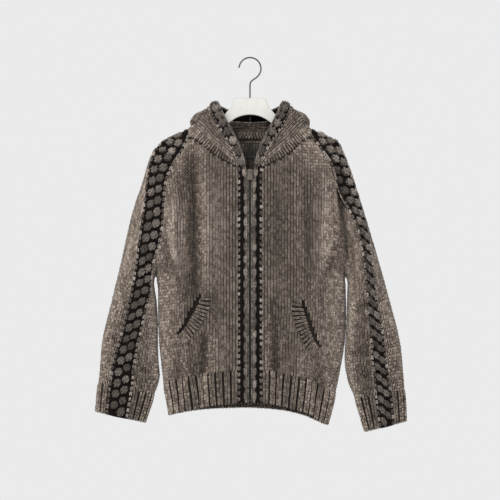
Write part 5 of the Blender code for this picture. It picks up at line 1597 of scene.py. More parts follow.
@dataclass
class Tailor:
    """Makes pieces and tells the frame about them.

    Attributes:
        finishes: the materials.
        shop: the Geometry Nodes trees.
        kit: the small shapes.
        pattern: the garment's surfaces.
    """

    finishes: Finishes
    shop: Workshop
    kit: ShapeKit
    pattern: Pattern

    def settle(self, piece: bpy.types.Object, slot: str, *nodes: str) -> bpy.types.Object:
        """Puts a piece on the garment's body.

        Args:
            piece: the piece.
            slot: not used.
            nodes: the solids that it replaces.

        Returns:
            The piece.
        """
        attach(piece, GARMENT)
        if nodes:
            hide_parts(*nodes)
        LOG.info("%s: %d faces", piece.name, len(piece.data.polygons))
        return piece

    def plant(self, name: str, planting: Planting, shape: str, finish: bpy.types.Material, slot: str,
              unevenness: float = 0.04) -> bpy.types.Object:
        """Plants a shape and settles it."""
        return self.settle(self.shop.plant(name, planting, self.kit.made[shape], finish, unevenness), slot)

    def knitted(self, name: str, planting: Planting) -> bpy.types.Object:
        """Plants stitches of the garment's own yarn."""
        return self.plant(name, planting, "stitch", self.finishes.yarn, "yarn")

    def raised(self, name: str, planting: Planting, shape: str) -> bpy.types.Object:
        """Plants bobbles, links or loops that stand on a dark trim."""
        return self.plant(name, planting, shape, self.finishes.puffs, "contrast")

    def dark_ground(self, node: str, grid: ClothGrid, wale: float) -> bpy.types.Object:
        """Plants the flat dark stitches of a strip or trim."""
        stitches = Knit(wale=wale, height=0.0026).stitches(grid.moved(-TRIM_SEAT))
        return self.plant(node + "_ground_stitches", stitches, "stitch", self.finishes.contrast, "contrast")

    def cover(self, node: str, grid: ClothGrid, thickness: Array | float, finish: bpy.types.Material,
              slot: str = "yarn", gap: float = SEAM_GAP) -> bpy.types.Object:
        """Makes the shell that replaces a cloth solid.

        Args:
            node: the solid.
            grid: the shell's outer surface.
            thickness: one value, or one for each point.
            finish: its material.
            slot: passed on to settle.
            gap: how far its edges keep from the seam line.

        Returns:
            The shell.
        """
        return self.settle(cloth_shell(node + "_cloth", grid, thickness, finish, gap), slot, node)


def measured(grid: ClothGrid) -> tuple[float, float, float]:
    """Mean width, mean length and area of a grid's cloth."""
    points = grid.points
    width = float(np.linalg.norm(np.diff(points, axis=1), axis=-1).sum(1).mean())
    length = float(np.linalg.norm(np.diff(points, axis=0), axis=-1).sum(0).mean())
    a, b = points[1:, 1:] - points[:-1, :-1], points[1:, :-1] - points[:-1, 1:]
    return width, length, float(np.linalg.norm(np.cross(a, b), axis=-1).sum() / 2)


def declare(piece: bpy.types.Object, grid: ClothGrid) -> None:
    """Logs a sheet's cut size.

    Args:
        piece: the shell.
        grid: the surface that it was cut to.
    """
    width, length, area = measured(grid)
    LOG.info("SHEET %s %.3f x %.3f area %.4f", piece.name, width, length, area)
    width = max(width, area / length)


@dataclass
class BodyPanels(Tailor):
    """The two fronts and the back, in stocking stitch."""

    knit: Knit = field(default_factory=Knit)

    NECK_CLEAR = 0.004
    SEEN_BELOW = ((0, 1), (-0.188, -0.176))
    SEEN_ABOVE, SEEN_HALF = -0.30, 0.13
    MOUTH_DEPTHS = (-0.12, -0.03)

    def wanted(self, side: Side, face: str) -> Wanted:
        """The test for stitches that lie below the neckline and clear of the pocket's mouth."""
        columns = self.pattern.BODY_COLUMNS

        def test(_: Array, j: Array, points: Array) -> Array:
            """True for each stitch that stays."""
            keep = points[:, 2] < NECK_LINE.at(face, j / columns) - self.NECK_CLEAR
            if face == "front":
                keep &= ~in_mouth(side, points)
            return keep

        return test

    def build(self) -> None:
        """Makes the panels."""
        ground, seams = self.finishes.ground, "last_row first_column last_column"
        for side in Side:
            grid = ClothGrid.of(self.pattern.front[side], side.sign).creased(side.sign, seams)
            shell = cloth_shell(f"front_{side.value}_cloth", grid.moved(-SINK), WALL, ground)
            self.cut_mouth(shell, side)
            self.settle(shell, "yarn", f"front_{side.value}")
            rows = ClothGrid.of(self.pattern.panel(side, "front", True), side.sign).creased(side.sign, seams)
            stitches = self.knitted(f"front_{side.value}_stitches", self.knit.stitches(
                rows.moved(-STITCH_SEAT), self.wanted(side, "front")))
            declare(shell, grid)
        halves = self.pattern.back
        grid = ClothGrid.of(joined_halves(halves[Side.RIGHT], halves[Side.LEFT]), -1.0).creased(-1.0, seams)
        shell = self.cover("back", grid.moved(-SINK), WALL, ground, gap=-0.0008)
        for side in Side:
            rows = ClothGrid.of(self.pattern.panel(side, "back", True), -side.sign).creased(
                -side.sign, "last_row last_column")
            self.knitted(f"back_{side.value}_stitches", self.knit.stitches(
                rows.moved(-STITCH_SEAT), self.wanted(side, "back")))
            inside = rows.inside().moved(WALL + SINK - 0.0003)
            self.knitted(f"back_{side.value}_inner_stitches",
                                       self.knit.stitches(inside, self.seen_inside))
        declare(shell, grid)

    def seen_inside(self, _i: Array, _j: Array, points: Array) -> Array:
        """True for each of the back's inner stitches that shows through the neck."""
        z, u = points[:, 2], np.abs(points[:, 0]) / self.SEEN_HALF
        return (z > self.SEEN_ABOVE) & (u < 1) & (z < np.interp(u, *self.SEEN_BELOW))

    def cut_mouth(self, shell: bpy.types.Object, side: Side) -> None:
        """Cuts the pocket's mouth through a front."""
        top, along, length, across = mouth_frame(side)
        steps = np.linspace(0, 1, 13)
        centre, half = mouth_line(steps)
        line = top + (steps * length)[:, None] * along
        one = line + (centre + half)[:, None] * across
        other = line + (centre - half)[:, None] * across
        outline = np.concatenate([one, other[::-1]]) * np.array([side.sign, 1.0])
        points = [(x, y, z) for y in self.MOUTH_DEPTHS for x, z in outline]
        cutter = put("mouth", closed_mesh("mouth", points, prism(len(outline))))
        cutter.data.shade_flat()
        cut = shell.modifiers.new("mouth", "BOOLEAN")
        cut.object, cut.operation, cut.solver = cutter, "DIFFERENCE", "EXACT"
        graph = bpy.context.evaluated_depsgraph_get()
        result = bpy.data.meshes.new_from_object(shell.evaluated_get(graph), depsgraph=graph)
        shell.modifiers.clear()
        shell.data = result
        bpy.data.objects.remove(cutter)


def mouth_frame(side: Side) -> tuple[Array, Array, float, Array]:
    """Top of a pocket mouth, its direction and length, and the direction across it to the zip."""
    top, low = (np.array(p) for p in POCKET_MOUTH[side])
    length = float(np.linalg.norm(low - top))
    along = (low - top) / length
    return top, along, length, np.array([along[1], -along[0]])


def mouth_line(share: Array) -> tuple[Array, Array]:
    """A pocket mouth's middle across its line, and half its width, at shares of its length."""
    centre = np.interp(share, WELT.columns["mouth_along"], WELT.columns["mouth_across"])
    return centre, MOUTH_WIDTH / 2 * np.sin(math.pi * np.clip(0.04 + 0.92 * share, 0, 1)) ** 0.6


def in_mouth(side: Side, points: Array) -> Array:
    """True where a stitch would hang in the pocket's mouth."""
    top, along, length, across = mouth_frame(side)
    offset = np.stack([side.sign * points[:, 0], points[:, 2]], -1) - top
    share = offset @ along / length
    centre, half = mouth_line(share)
    inside = np.abs(offset @ across - centre) < half + 0.0015
    return inside & (share > -0.03) & (share < 1.03)


@dataclass
class RibbedPieces(Tailor):
    """Hem, cuffs and neck rib: raised ribs of two wales with dark grooves between, dark from being sunk and
    from painted shade in their yarn.

    Attributes:
        pitch: width of one rib and its groove.
        height: how far a rib stands.
        samples: grid columns to a rib.
    """

    pitch: float = 0.0155
    height: float = 0.0034
    samples: int = 8

    COLUMNS = 40
    BEDDING, STITCH_HEIGHT, GROOVE_SHARE = 0.25, 0.0032, 0.60

    def rib_columns(self, count: int) -> tuple[Array, Array]:
        """Shares across a ribbed piece, and how high the cloth stands there."""
        shares = np.linspace(0, 1, self.samples * count + 1)
        phase = np.mod(shares * count, 1.0)
        return shares, np.clip(2.1 * np.sin(math.pi * phase) - 0.35, 0, 1) ** 0.8

    def ribbed(self, name: str, grid: ClothGrid, count: int, fade: Array, rests: list[str],
               wales: int = 2, course: float = COURSE) -> None:
        """Makes one ribbed piece and its stitches.

        Args:
            name: the piece's name, which is also the name of the solid that it replaces.
            grid: its surface, with ribs along the rows.
            count: number of ribs.
            fade: how far the ribs stand on each row, from 0 to 1.
            rests: not used.
            wales: wales on each rib.
            course: height of one stitch.
        """
        shares, wave = self.rib_columns(count)
        rows = np.arange(len(grid.points))
        places = np.interp(shares, shares_of(grid.points[len(rows) // 2]), np.arange(grid.points.shape[1]))
        points, normals = grid.at(rows[:, None], places[None, :])
        level = ClothGrid(points, normals)
        fine = level.moved(self.height * (fade[:, None] * wave[None, :] - self.BEDDING))
        shell = self.cover(name, fine.moved(-SINK), WALL, self.finishes.ground)
        raised = level.moved(self.height * fade[:, None] * (1 - self.BEDDING))
        centres = (np.arange(count) + 0.5) / count
        share = 0.78 / wales
        offsets = (np.arange(wales) - (wales - 1) / 2) * share
        at = (centres[:, None] + offsets[None, :] / count).ravel() * (len(shares) - 1)
        wide = length_of(points[len(points) // 2]) / count * share * 1.04
        knit = Knit(course=course, height=self.STITCH_HEIGHT)
        parts = [self.knitted(name + "_stitches", knit.stitches(
            raised, columns=at, scale=np.full(len(at), wide)))]
        if wales > 1:
            grooves = np.arange(1, count) * float(self.samples)
            sunk = knit.stitches(level.moved(-0.0020), columns=grooves,
                                 scale=np.full(count - 1, wide * self.GROOVE_SHARE))
            # the grooves' stitches take the darker copy of the yarn: painted shade
            parts.append(self.plant(name + "_groove_stitches", sunk, "stitch", self.finishes.ground, "yarn"))
        declare(shell, fine)

    def build(self) -> None:
        """Makes the hem, the cuffs and the neck rib."""
        rows = self.pattern.HEM_ROWS
        fade = np.clip((1.05 - np.linspace(0, 1, rows)) / 0.25, 0.25, 1)
        for side in Side:
            points = self.pattern.hem(side, "front", self.COLUMNS)
            self.edging(f"hem_front_{side.value}", points, side.sign, fade, f"front_{side.value}_cloth")
        points = joined_halves(*(self.pattern.hem(side, "back", self.COLUMNS) for side in Side))
        grid = self.edging("hem_back", points, -1.0, fade, "back_cloth")
        self.knitted("hem_back_inner_stitches",
                     Knit(wale=0.0076, height=0.0034).stitches(grid.inside().moved(WALL + 0.0020)))
        for side in Side:
            points = self.pattern.sleeve(side, np.linspace(self.pattern.CUFF_START, 1.0, rows))
            self.edging(f"cuff_{side.value}", points, side.sign, fade[::-1], f"sleeve_{side.value}_cloth")

    def edging(self, name: str, points: Array, turn: float, fade: Array, rests: str) -> ClothGrid:
        """Makes a hem or cuff piece.

        Args:
            name: the piece's name.
            points: its places, with ribs along the rows.
            turn: +1 or -1, so that the normals point outward.
            fade: how far the ribs stand on each row, from 0 to 1.
            rests: passed on to ribbed.

        Returns:
            Its creased grid.
        """
        grid = ClothGrid.of(points, turn).creased(turn, "first_column last_column")
        self.ribbed(name, grid, round(length_of(points[0]) / self.pitch), fade, [rests])
        return grid


@dataclass
class Sleeves(Tailor):
    """Both sleeves below the contrast strips, in stocking stitch."""

    knit: Knit = field(default_factory=Knit)
    steps: int = 78

    def build(self) -> None:
        """Makes the sleeves."""
        for side in Side:
            name = f"sleeve_{side.value}"
            points = self.pattern.sleeve(side, np.linspace(0.0, self.pattern.CUFF_START, self.steps))
            grid = ClothGrid.of(points, side.sign).creased(side.sign, "first_row first_column last_column")
            shell = self.cover(name, grid.moved(-SINK), WALL, self.finishes.ground, gap=-0.0006)
            upward = ClothGrid(grid.points[::-1], grid.normals[::-1], grid.shade[::-1])
            stitches = self.knitted(name + "_stitches", self.knit.stitches(upward.moved(-STITCH_SEAT)))
            declare(shell, grid)


@dataclass
class Strips(Tailor):
    """The contrast strips from the neck over the shoulder to the cuff, with two rows of bobbles.

    Attributes:
        pitch: spacing of the bobbles in one row.
        bobble: width, length and height of a bobble.
        lean: degrees that a bobble leans across the strip.
        picot: width, length and height of a loop end along the edges.
        sag: how far the strip's middle stands off the line between its edges.
        dense: steps along an edge while the strip is laid out.
        columns: columns of the strip's grid.
        middles: the middle of each strip's end at the neck.
    """

    pitch: float = 0.0260
    bobble: tuple[float, float, float] = (0.0160, 0.0218, 0.0086)
    lean: float = 24.0
    picot: tuple[float, float, float] = (0.0085, 0.0098, 0.0046)
    sag: float = 0.005
    dense: int = 600
    columns: int = 13
    middles: dict[Side, Array] = field(default_factory=dict)

    REACH, LEAST_STEP, ROW_STEP = 110, 0.35, 0.0065
    ROWS_OF_BOBBLES, ROWS_OF_PICOTS = (2 / 6, 4 / 6), (0.045, 0.955)
    FIRST_SHARE, USUAL_WIDTH = 0.02, 0.046

    def surface(self, side: Side) -> ClothGrid:
        """A strip's grid.

        Args:
            side: the wearer's side.

        Returns:
            Rows down its length, and columns from its front edge to its back edge.
        """
        edge_a, edge_b = self.pattern.strip_edges(side)
        even = np.linspace(0, 1, self.dense)
        a, b = polyline(edge_a, even), polyline(edge_b, even)
        centre = (a + b) / 2
        tangent, pairs = unit(np.gradient(centre, axis=0)), [(0, 0)]
        for k in range(1, self.dense - 1):
            low, high = max(0, k - self.REACH), min(self.dense, k + self.REACH)
            pick = [low + int(np.abs((e[low:high] - centre[k]) @ tangent[k]).argmin()) for e in (a, b)]
            pairs.append((max(pick[0], pairs[-1][0]), max(pick[1], pairs[-1][1])))
        pairs.append((self.dense - 1, self.dense - 1))
        steps = np.maximum(np.diff(np.array(pairs, float), axis=0), self.LEAST_STEP)
        shares = np.concatenate([np.zeros((1, 2)), np.cumsum(steps, axis=0) / steps.sum(0)])
        middle = shares.mean(1)
        self.length = length_of((polyline(edge_a, even[::3]) + polyline(edge_b, even[::3])) / 2)
        at = np.linspace(0, 1, round(self.length / self.ROW_STEP))
        a = polyline(edge_a, np.interp(at, middle, shares[:, 0]))
        b = polyline(edge_b, np.interp(at, middle, shares[:, 1]))
        outward = unit(np.cross(np.gradient((a + b) / 2, axis=0), b - a)) * side.sign
        top = (a + b) / 2 + outward * self.sag
        self.middles[side] = top[0]
        c = np.linspace(0, 1, self.columns)[None, :, None]
        points = (a[:, None] * (1 - c) * (1 - 2 * c) + 4 * top[:, None] * c * (1 - c)
                  + b[:, None] * c * (2 * c - 1))
        share = np.linspace(0, 2, self.columns)
        pointed = np.stack([np.interp(share, [0, 1, 2], k) for k in np.stack([a[0], top[0], b[0]], -1)], -1)
        fade = np.clip(1 - np.arange(len(points)) / 3, 0, 1)[:, None, None]
        points = points + (pointed - points[0])[None] * fade
        return ClothGrid.of(points, -side.sign).creased(-side.sign, "first_column last_column")

    def build(self) -> None:
        """Makes both strips."""
        for side in Side:
            grid = self.surface(side)
            name = f"strip_{side.value}"
            shell = self.cover(name, grid.moved(-SINK), WALL, self.finishes.contrast, "contrast", -0.0007)
            rows, columns = len(grid.points) - 1, self.columns - 1
            parts = [self.dark_ground(name, grid, 0.0068)]
            count = round(self.length / self.pitch)
            odd, even = (np.arange(count) + 0.5) / count, np.arange(1, count) / count
            share = np.concatenate([odd, even])
            across = np.repeat(self.ROWS_OF_BOBBLES, (count, count - 1))
            keep = share > self.FIRST_SHARE
            share, across = share[keep], across[keep]
            line, _ = grid.at(np.repeat(share * rows, 2), np.tile([0, columns], len(share)))
            wide = np.linalg.norm(line[1::2] - line[::2], axis=1)
            size = np.array(self.bobble)[None] * np.stack([
                np.clip(wide / self.USUAL_WIDTH, 0.80, 1.15) * Chance.about(1, 0.06, len(share)),
                Chance.about(1, 0.08, len(share)), Chance.about(1, 0.10, len(share))], -1)
            bobbles = plant_rows(grid.moved(-0.0005), share * rows, across * columns, size,
                                 Chance.about(0.48, 0.18, len(share)))
            lean = (side.sign * np.radians(Chance.about(self.lean, 6.0, len(share))))[:, None]
            aside = np.cross(bobbles.out, bobbles.along)
            bobbles.along = bobbles.along * np.cos(lean) + aside * np.sin(lean)
            parts.append(self.raised(name + "_bobbles", bobbles, "bobble"))
            picots = round(self.length / (self.pitch / 2))
            share = np.tile((np.arange(picots) + 0.5) / picots, 2)
            across = np.repeat(self.ROWS_OF_PICOTS, picots)
            size = np.array(self.picot)[None] * Chance.about(1, 0.15, len(share))[:, None]
            loops = plant_rows(grid.moved(-0.0010), share * rows, across * columns, size,
                               Chance.about(YARN_TONE, 0.4, len(share)))
            parts.append(self.raised(name + "_picots", loops, "picot"))
            declare(shell, grid)


@dataclass(frozen=True)
class ChainStyle:
    """How a trim's chain is made up.

    Attributes:
        shape: the template of its links.
        size: width, length and height of a link.
        pitch: spacing of the links.
        centre: share across the trim where the links run.
        spine: shares across the trim where the cord's wales run.
        picots: loop ends to a link along the knit's edge.
    """

    shape: str
    size: tuple[float, float, float]
    pitch: float
    centre: float
    spine: tuple[float, ...]
    picots: int = 2


@dataclass
class Trims(Tailor):
    """The contrast trims beside the zip and round the hood: a chain of puffed links and picots.

    Attributes:
        band_chain: the chain beside the zip.
        hood_chain: the rounder chain round the hood.
    """

    band_chain: ChainStyle = ChainStyle("link", (0.0100, 0.0225, 0.0058), 0.0278, 0.69, (0.90, 0.71))
    hood_chain: ChainStyle = ChainStyle("bobble", (0.0180, 0.0222, 0.0094), 0.0246, 0.55, (0.90,))

    COLUMNS, PICOT_AT, SPINE_STEP = 9, 0.05, 0.0072
    PICOT = (0.0092, 0.0084, 0.0042)

    def chain(self, name: str, grid: ClothGrid, style: ChainStyle, rests: list[str]) -> None:
        """Makes one trim; its columns run from the knit to its free edge.

        Args:
            name: the piece's name, which is also the name of the solid it replaces.
            grid: its surface, with rows along it.
            style: its chain.
            rests: not used.
        """
        shell = self.cover(name, grid.moved(-SINK), WALL, self.finishes.contrast, "contrast")
        rows, columns = len(grid.points), grid.points.shape[1] - 1
        length, passed = length_of(grid.points[:, -1]), shares_of(grid.points[:, -1])
        count = round(length / style.pitch)

        def place(share: Array) -> Array:
            """Fractional rows at shares of the free edge's length."""
            return np.interp(share, passed, np.arange(rows))

        parts = [self.dark_ground(name, grid, WALE)]
        share = (np.arange(count) + 0.5) / count
        size = np.array(style.size)[None] * np.stack([
            Chance.about(1, 0.05, count), Chance.about(1.04, 0.05, count), Chance.about(1, 0.08, count)], -1)
        at = np.full(count, style.centre * columns)
        links = plant_rows(grid.moved(-STITCH_SEAT), place(share), at, size,
                           Chance.about(0.55, 0.30, count))
        parts.append(self.raised(name + "_links", links, style.shape))
        core = round(length / self.SPINE_STEP)
        share = np.tile((np.arange(core) + 0.5) / core, len(style.spine))
        across = np.repeat(style.spine, core)
        size = np.stack([np.full(len(share), 0.0064), np.full(len(share), 0.0076),
                         Chance.about(0.0056, 0.0004, len(share))], -1)
        spine = plant_rows(grid.moved(TRIM_SEAT), place(share), across * columns, size,
                           Chance.about(YARN_TONE, 0.3, len(share)))
        parts.append(self.raised(name + "_spine", spine, "stitch"))
        picots = style.picots * count
        share = (np.arange(picots) + 0.5) / picots
        size = np.array(self.PICOT)[None] * Chance.about(1, 0.12, picots)[:, None]
        at = np.full(picots, self.PICOT_AT * columns)
        loops = plant_rows(grid.moved(-TRIM_SEAT), place(share), at, size,
                           Chance.about(YARN_TONE, 0.4, picots))
        parts.append(self.raised(name + "_picots", loops, "picot"))
        declare(shell, grid)

    def build(self) -> None:
        """Makes the trims beside the zip."""
        for side in Side:
            grid = ClothGrid.of(resample(self.COLUMNS, self.pattern.band(side)), -side.sign)
            self.chain(f"band_{side.value}", grid, self.band_chain, [f"front_{side.value}_cloth"])


@dataclass
class Hood(Trims):
    """The neck rib, the hood's two halves and the trims round its opening.

    Attributes:
        middles: the middle of each strip's end at the neck.
        wall: thickness of the hood's cloth.
        rib_pitch: width of one rib of the neck rib.
    """

    middles: dict[Side, Array] = field(default_factory=dict)
    wall: float = 0.0028
    rib_pitch: float = 0.0074

    STATIONS, ROWS, TRIM_ROWS, RIB_ROWS = 76, 61, 90, 5
    THIN_AT = ((0.44, 0.52, 0.68, 0.76), (1.0, 0.5, 0.5, 1.0))
    INNER_ROWS, INNER_HALF = 20, 0.115

    def build(self) -> None:
        """Makes the hood."""
        rings = {}
        for side in Side:
            low, shares = self.pattern.neckline(side, self.middles[side])
            mirror = np.array([side.sign, 1.0, 1.0])
            base = HOOD_BASE.points(shares) * mirror
            rings[side] = (low, base)
            self.half(side, shares)
            self.trim(side, low, base)
        self.neck_rib(rings)

    def half(self, side: Side, shares: Array) -> None:
        """One half of the hood."""
        stations = np.interp(np.linspace(0, 1, self.STATIONS), np.linspace(0, 1, len(shares)), shares)
        grid = ClothGrid.of(self.pattern.hood(side, stations, np.linspace(0, 1, self.ROWS)), side.sign)
        grid = grid.creased(side.sign, "first_row last_row first_column")
        thin = self.wall * np.interp(stations, *self.THIN_AT)[None, :]
        name, round_way, tight = f"hood_{side.value}", grid.flipped(), Knit(height=0.0027)
        shell = self.cover(name, grid.moved(-0.0006), thin, self.finishes.ground)
        stitches = self.knitted(name + "_stitches", tight.stitches(round_way.moved(-0.0002)))
        inner = self.knitted(name + "_inner_stitches", tight.stitches(
            round_way.inside().moved(self.wall), self.seen_inside))
        declare(shell, grid)

    def seen_inside(self, _: Array, j: Array, points: Array) -> Array:
        """True for each of the hood's inner stitches that shows in its opening."""
        return (j < self.INNER_ROWS) & (np.abs(points[:, 0]) < self.INNER_HALF)

    def trim(self, side: Side, low: Array, base: Array) -> None:
        """The trim round one half of the hood's opening.

        Args:
            side: the wearer's side.
            low: the neck rib's lower seam from the zip.
            base: its upper seam from the zip.
        """
        shares = np.linspace(0, 1, self.TRIM_ROWS)
        mirror = np.array([side.sign, 1.0, 1.0])
        edge, rim = HOOD_TRIM.points(shares) * mirror, HOOD_RIM.points(shares) * mirror
        edge = np.concatenate([low[:1], base[:1], edge])
        rim = np.concatenate([self.pattern.band(side)[-1:, 1], RIM_AT_RIB[None] * mirror, rim])
        grid = ClothGrid.of(resample(self.COLUMNS, np.stack([edge, rim], 1)), -side.sign)
        self.chain(f"hood_trim_{side.value}", grid, self.hood_chain, [f"hood_{side.value}_cloth"])

    def neck_rib(self, rings: dict[Side, tuple[Array, Array]]) -> None:
        """The ribbed band round the neckline, between each side's lower and upper seams."""
        at = np.linspace(0, 1, 240)
        low, base = (polyline(np.concatenate([right, left[-2::-1]]), at)
                     for right, left in zip(rings[Side.RIGHT], rings[Side.LEFT]))
        steps = np.linspace(0, 1, self.RIB_ROWS)[:, None, None]
        grid = ClothGrid.of(low[None] * (1 - steps) + base[None] * steps, -1.0)
        count = round(length_of(low) / self.rib_pitch)
        ribs = RibbedPieces(self.finishes, self.shop, self.kit, self.pattern, height=0.0022, samples=6)
        ribs.ribbed("neck_rib", grid, count, np.full(self.RIB_ROWS, 0.9), ["back_cloth"], 1, 0.0076)
        inside = grid.inside().moved(WALL + SINK + 0.0002)
        self.knitted("neck_rib_inner_stitches", Knit(wale=0.0072).stitches(
            ClothGrid(inside.points[:, 1:-1], inside.normals[:, 1:-1])))


@dataclass
class Pockets(Tailor):
    """Ribbed welts round the pocket mouths and the bags behind them.

    Attributes:
        ribs: ribs along a welt.
        thickness: thickness of a welt.
        depth: how far a bag's middle stands off the front.
    """

    ribs: int = 15
    thickness: float = 0.0026
    depth: float = 0.015

    SLOPE_STEP, RIB_SAMPLES, WELT_ROWS = 0.004, 8, 7
    WELT_FADE, WELT_CLEAR = (0.7, 1, 1, 1, 1, 0.8, 0.4), 0.0008
    BAG_X, BAG_Z, BAG_CLEAR, BAG_WALL = (0.058, 0.182, 19), (-0.712, -0.522, 25), 0.0060, 0.0014

    def on_front(self, side: Side, places: Array, offset: float) -> Array:
        """Points on the creased front.

        Args:
            side: the wearer's side.
            places: their X, counted outward on both sides, and Z.
            offset: how far they are moved out from the front.

        Returns:
            The points.
        """
        half = FRONT_HALF[side]
        u = np.linspace(0, 1, half.SHARES)

        def depth_at(x: Array, z: Array) -> Array:
            """Y of the plain front at X and Z."""
            lines = half.point(u[None, :], np.broadcast_to(z[:, None], (len(z), len(u))))
            return np.array([np.interp(a, np.abs(line[:, 0]), line[:, 1]) for a, line in zip(x, lines)])

        x, z = places[:, 0], places[:, 1]
        step = self.SLOPE_STEP
        y = depth_at(x, z)
        slope_x = (depth_at(x + step, z) - depth_at(x - step, z)) / (2 * step)
        slope_z = (depth_at(x, z + step) - depth_at(x, z - step)) / (2 * step)
        normals = unit(np.stack([slope_x * side.sign, -np.ones_like(x), slope_z], -1))
        points = np.stack([side.sign * x, y, z], -1)
        lift = sum(crease.lift(points, normals) for crease in CREASES)
        return points + normals * (offset + lift)[:, None]

    def welt(self, side: Side) -> None:
        """The ribbed band round the inner side of a mouth."""
        top, along, length, across = mouth_frame(side)
        count = self.RIB_SAMPLES * self.ribs + 1
        steps, spread = np.linspace(0, 1, count), np.linspace(0, 1, len(WELT.key))
        columns = {name: monotone_cubic(spread, WELT.columns[name], steps) for name in WELT.columns}
        columns["mouth_along"] = np.interp(steps, spread, WELT.columns["mouth_along"])
        rows = []
        for out in np.linspace(0, 1, self.WELT_ROWS):
            a = columns["mouth_along"] * (1 - out) + columns["outer_along"] * out
            b = (columns["mouth_across"] + MOUTH_WIDTH / 2) * (1 - out)
            b = b + (columns["outer_across"] + 0.001) * out
            places = top + (a * length)[:, None] * along + b[:, None] * across
            rows.append(self.on_front(side, places, self.WELT_CLEAR + self.thickness))
        grid = ClothGrid.of(np.array(rows), -side.sign)
        phase = np.mod(steps * self.ribs, 1.0)
        wave = np.clip(2.0 * np.sin(math.pi * phase) - 0.3, 0, 1)
        fade = np.array(self.WELT_FADE)[:, None]
        name = f"pocket_welt_{side.value}"
        fine = grid.moved(0.0022 * (wave[None, :] * fade - 0.35))
        shell = self.cover(name, fine, self.thickness, self.finishes.ground)
        at = (np.arange(self.ribs) + 0.5) * self.RIB_SAMPLES
        wide = length_of(grid.points[self.WELT_ROWS // 2]) / self.ribs * 0.86
        stitches = self.knitted(name + "_stitches", Knit(course=0.0066, height=0.0032).stitches(
            grid.moved(0.0012), columns=at, scale=np.full(self.ribs, wide)))
        declare(shell, fine)

    def bag(self, side: Side) -> None:
        """The cloth bag behind a mouth."""
        xs, zs = np.linspace(*self.BAG_X), np.linspace(*self.BAG_Z)
        grid = []
        for share, z in zip(np.linspace(0, 1, len(zs)), zs):
            places = np.stack([xs, np.full(len(xs), z)], -1)
            rise = math.sin(math.pi * share) ** 0.5 * np.sin(np.pi * np.linspace(0, 1, len(xs))) ** 0.5
            flat = self.on_front(side, places, -self.BAG_CLEAR)
            deep = self.on_front(side, places, -self.BAG_CLEAR - self.depth)
            grid.append(flat * (1 - rise[:, None]) + deep * rise[:, None])
        surface = ClothGrid.of(np.array(grid), side.sign)
        shell = self.cover(f"pocket_bag_{side.value}", surface, self.BAG_WALL, self.finishes.pocket, "tape")
        declare(shell, surface)

    def build(self) -> None:
        """Makes both pockets."""
        for side in Side:
            self.welt(side)
            self.bag(side)


@dataclass
class Closure(Tailor):
    """Zip tapes, teeth, and the metal of the slider and its pull.

    Attributes:
        tooth_pitch: spacing of the teeth on one tape.
    """

    tooth_pitch: float = 0.0030

    TOOTH, TOP_TOOTH_Z = (0.0030, 0.0016, 0.0020), -0.272
    TAPE_EDGE, TAPE_REACH, TAPE_BEHIND, TAPE_WALL = 0.0012, 0.0120, 0.0049, 0.0011

    def build(self) -> None:
        """Makes the zip."""
        for side in Side:
            band = self.pattern.band(side)
            grid = ClothGrid.of(band, -side.sign)
            toward = unit(band[:, 0] - band[:, 1])
            edge, far = band[:, 1] - toward * self.TAPE_EDGE, band[:, 1] + toward * self.TAPE_REACH
            steps = np.linspace(0, 1, 4)[None, :, None]
            points = far[:, None] * (1 - steps) + edge[:, None] * steps
            points = points - grid.normals[:, 1:2] * self.TAPE_BEHIND
            tape = ClothGrid.of(points[2:], -side.sign)
            shell = self.cover(f"zip_tape_{side.value}", tape, self.TAPE_WALL, self.finishes.tape, "tape")
            line = tape.points[:, -1]
            count = round(length_of(line) / self.tooth_pitch)
            share = (np.arange(count) + (0.25 if side is Side.RIGHT else 0.75)) / count
            rows = np.interp(share, shares_of(line), np.arange(len(line)))
            rows = rows[rows < len(line) - 1]
            places, out = tape.at(rows, np.full(len(rows), 3.0))
            keep = places[:, 2] < self.TOP_TOOTH_Z
            places, out = places[keep], out[keep]
            count = len(places)
            teeth = Planting(places + out * 0.0002 - np.array([side.sign, 0, 0]) * 0.0007, out,
                             np.tile([0, 0, side.sign * -1.0], (count, 1)),
                             np.tile(self.TOOTH, (count, 1)), np.full(count, YARN_TONE))
            chain = self.plant(f"zip_teeth_{side.value}", teeth, "tooth", self.finishes.teeth, "zip_metal",
                               0.0)
            declare(shell, tape)


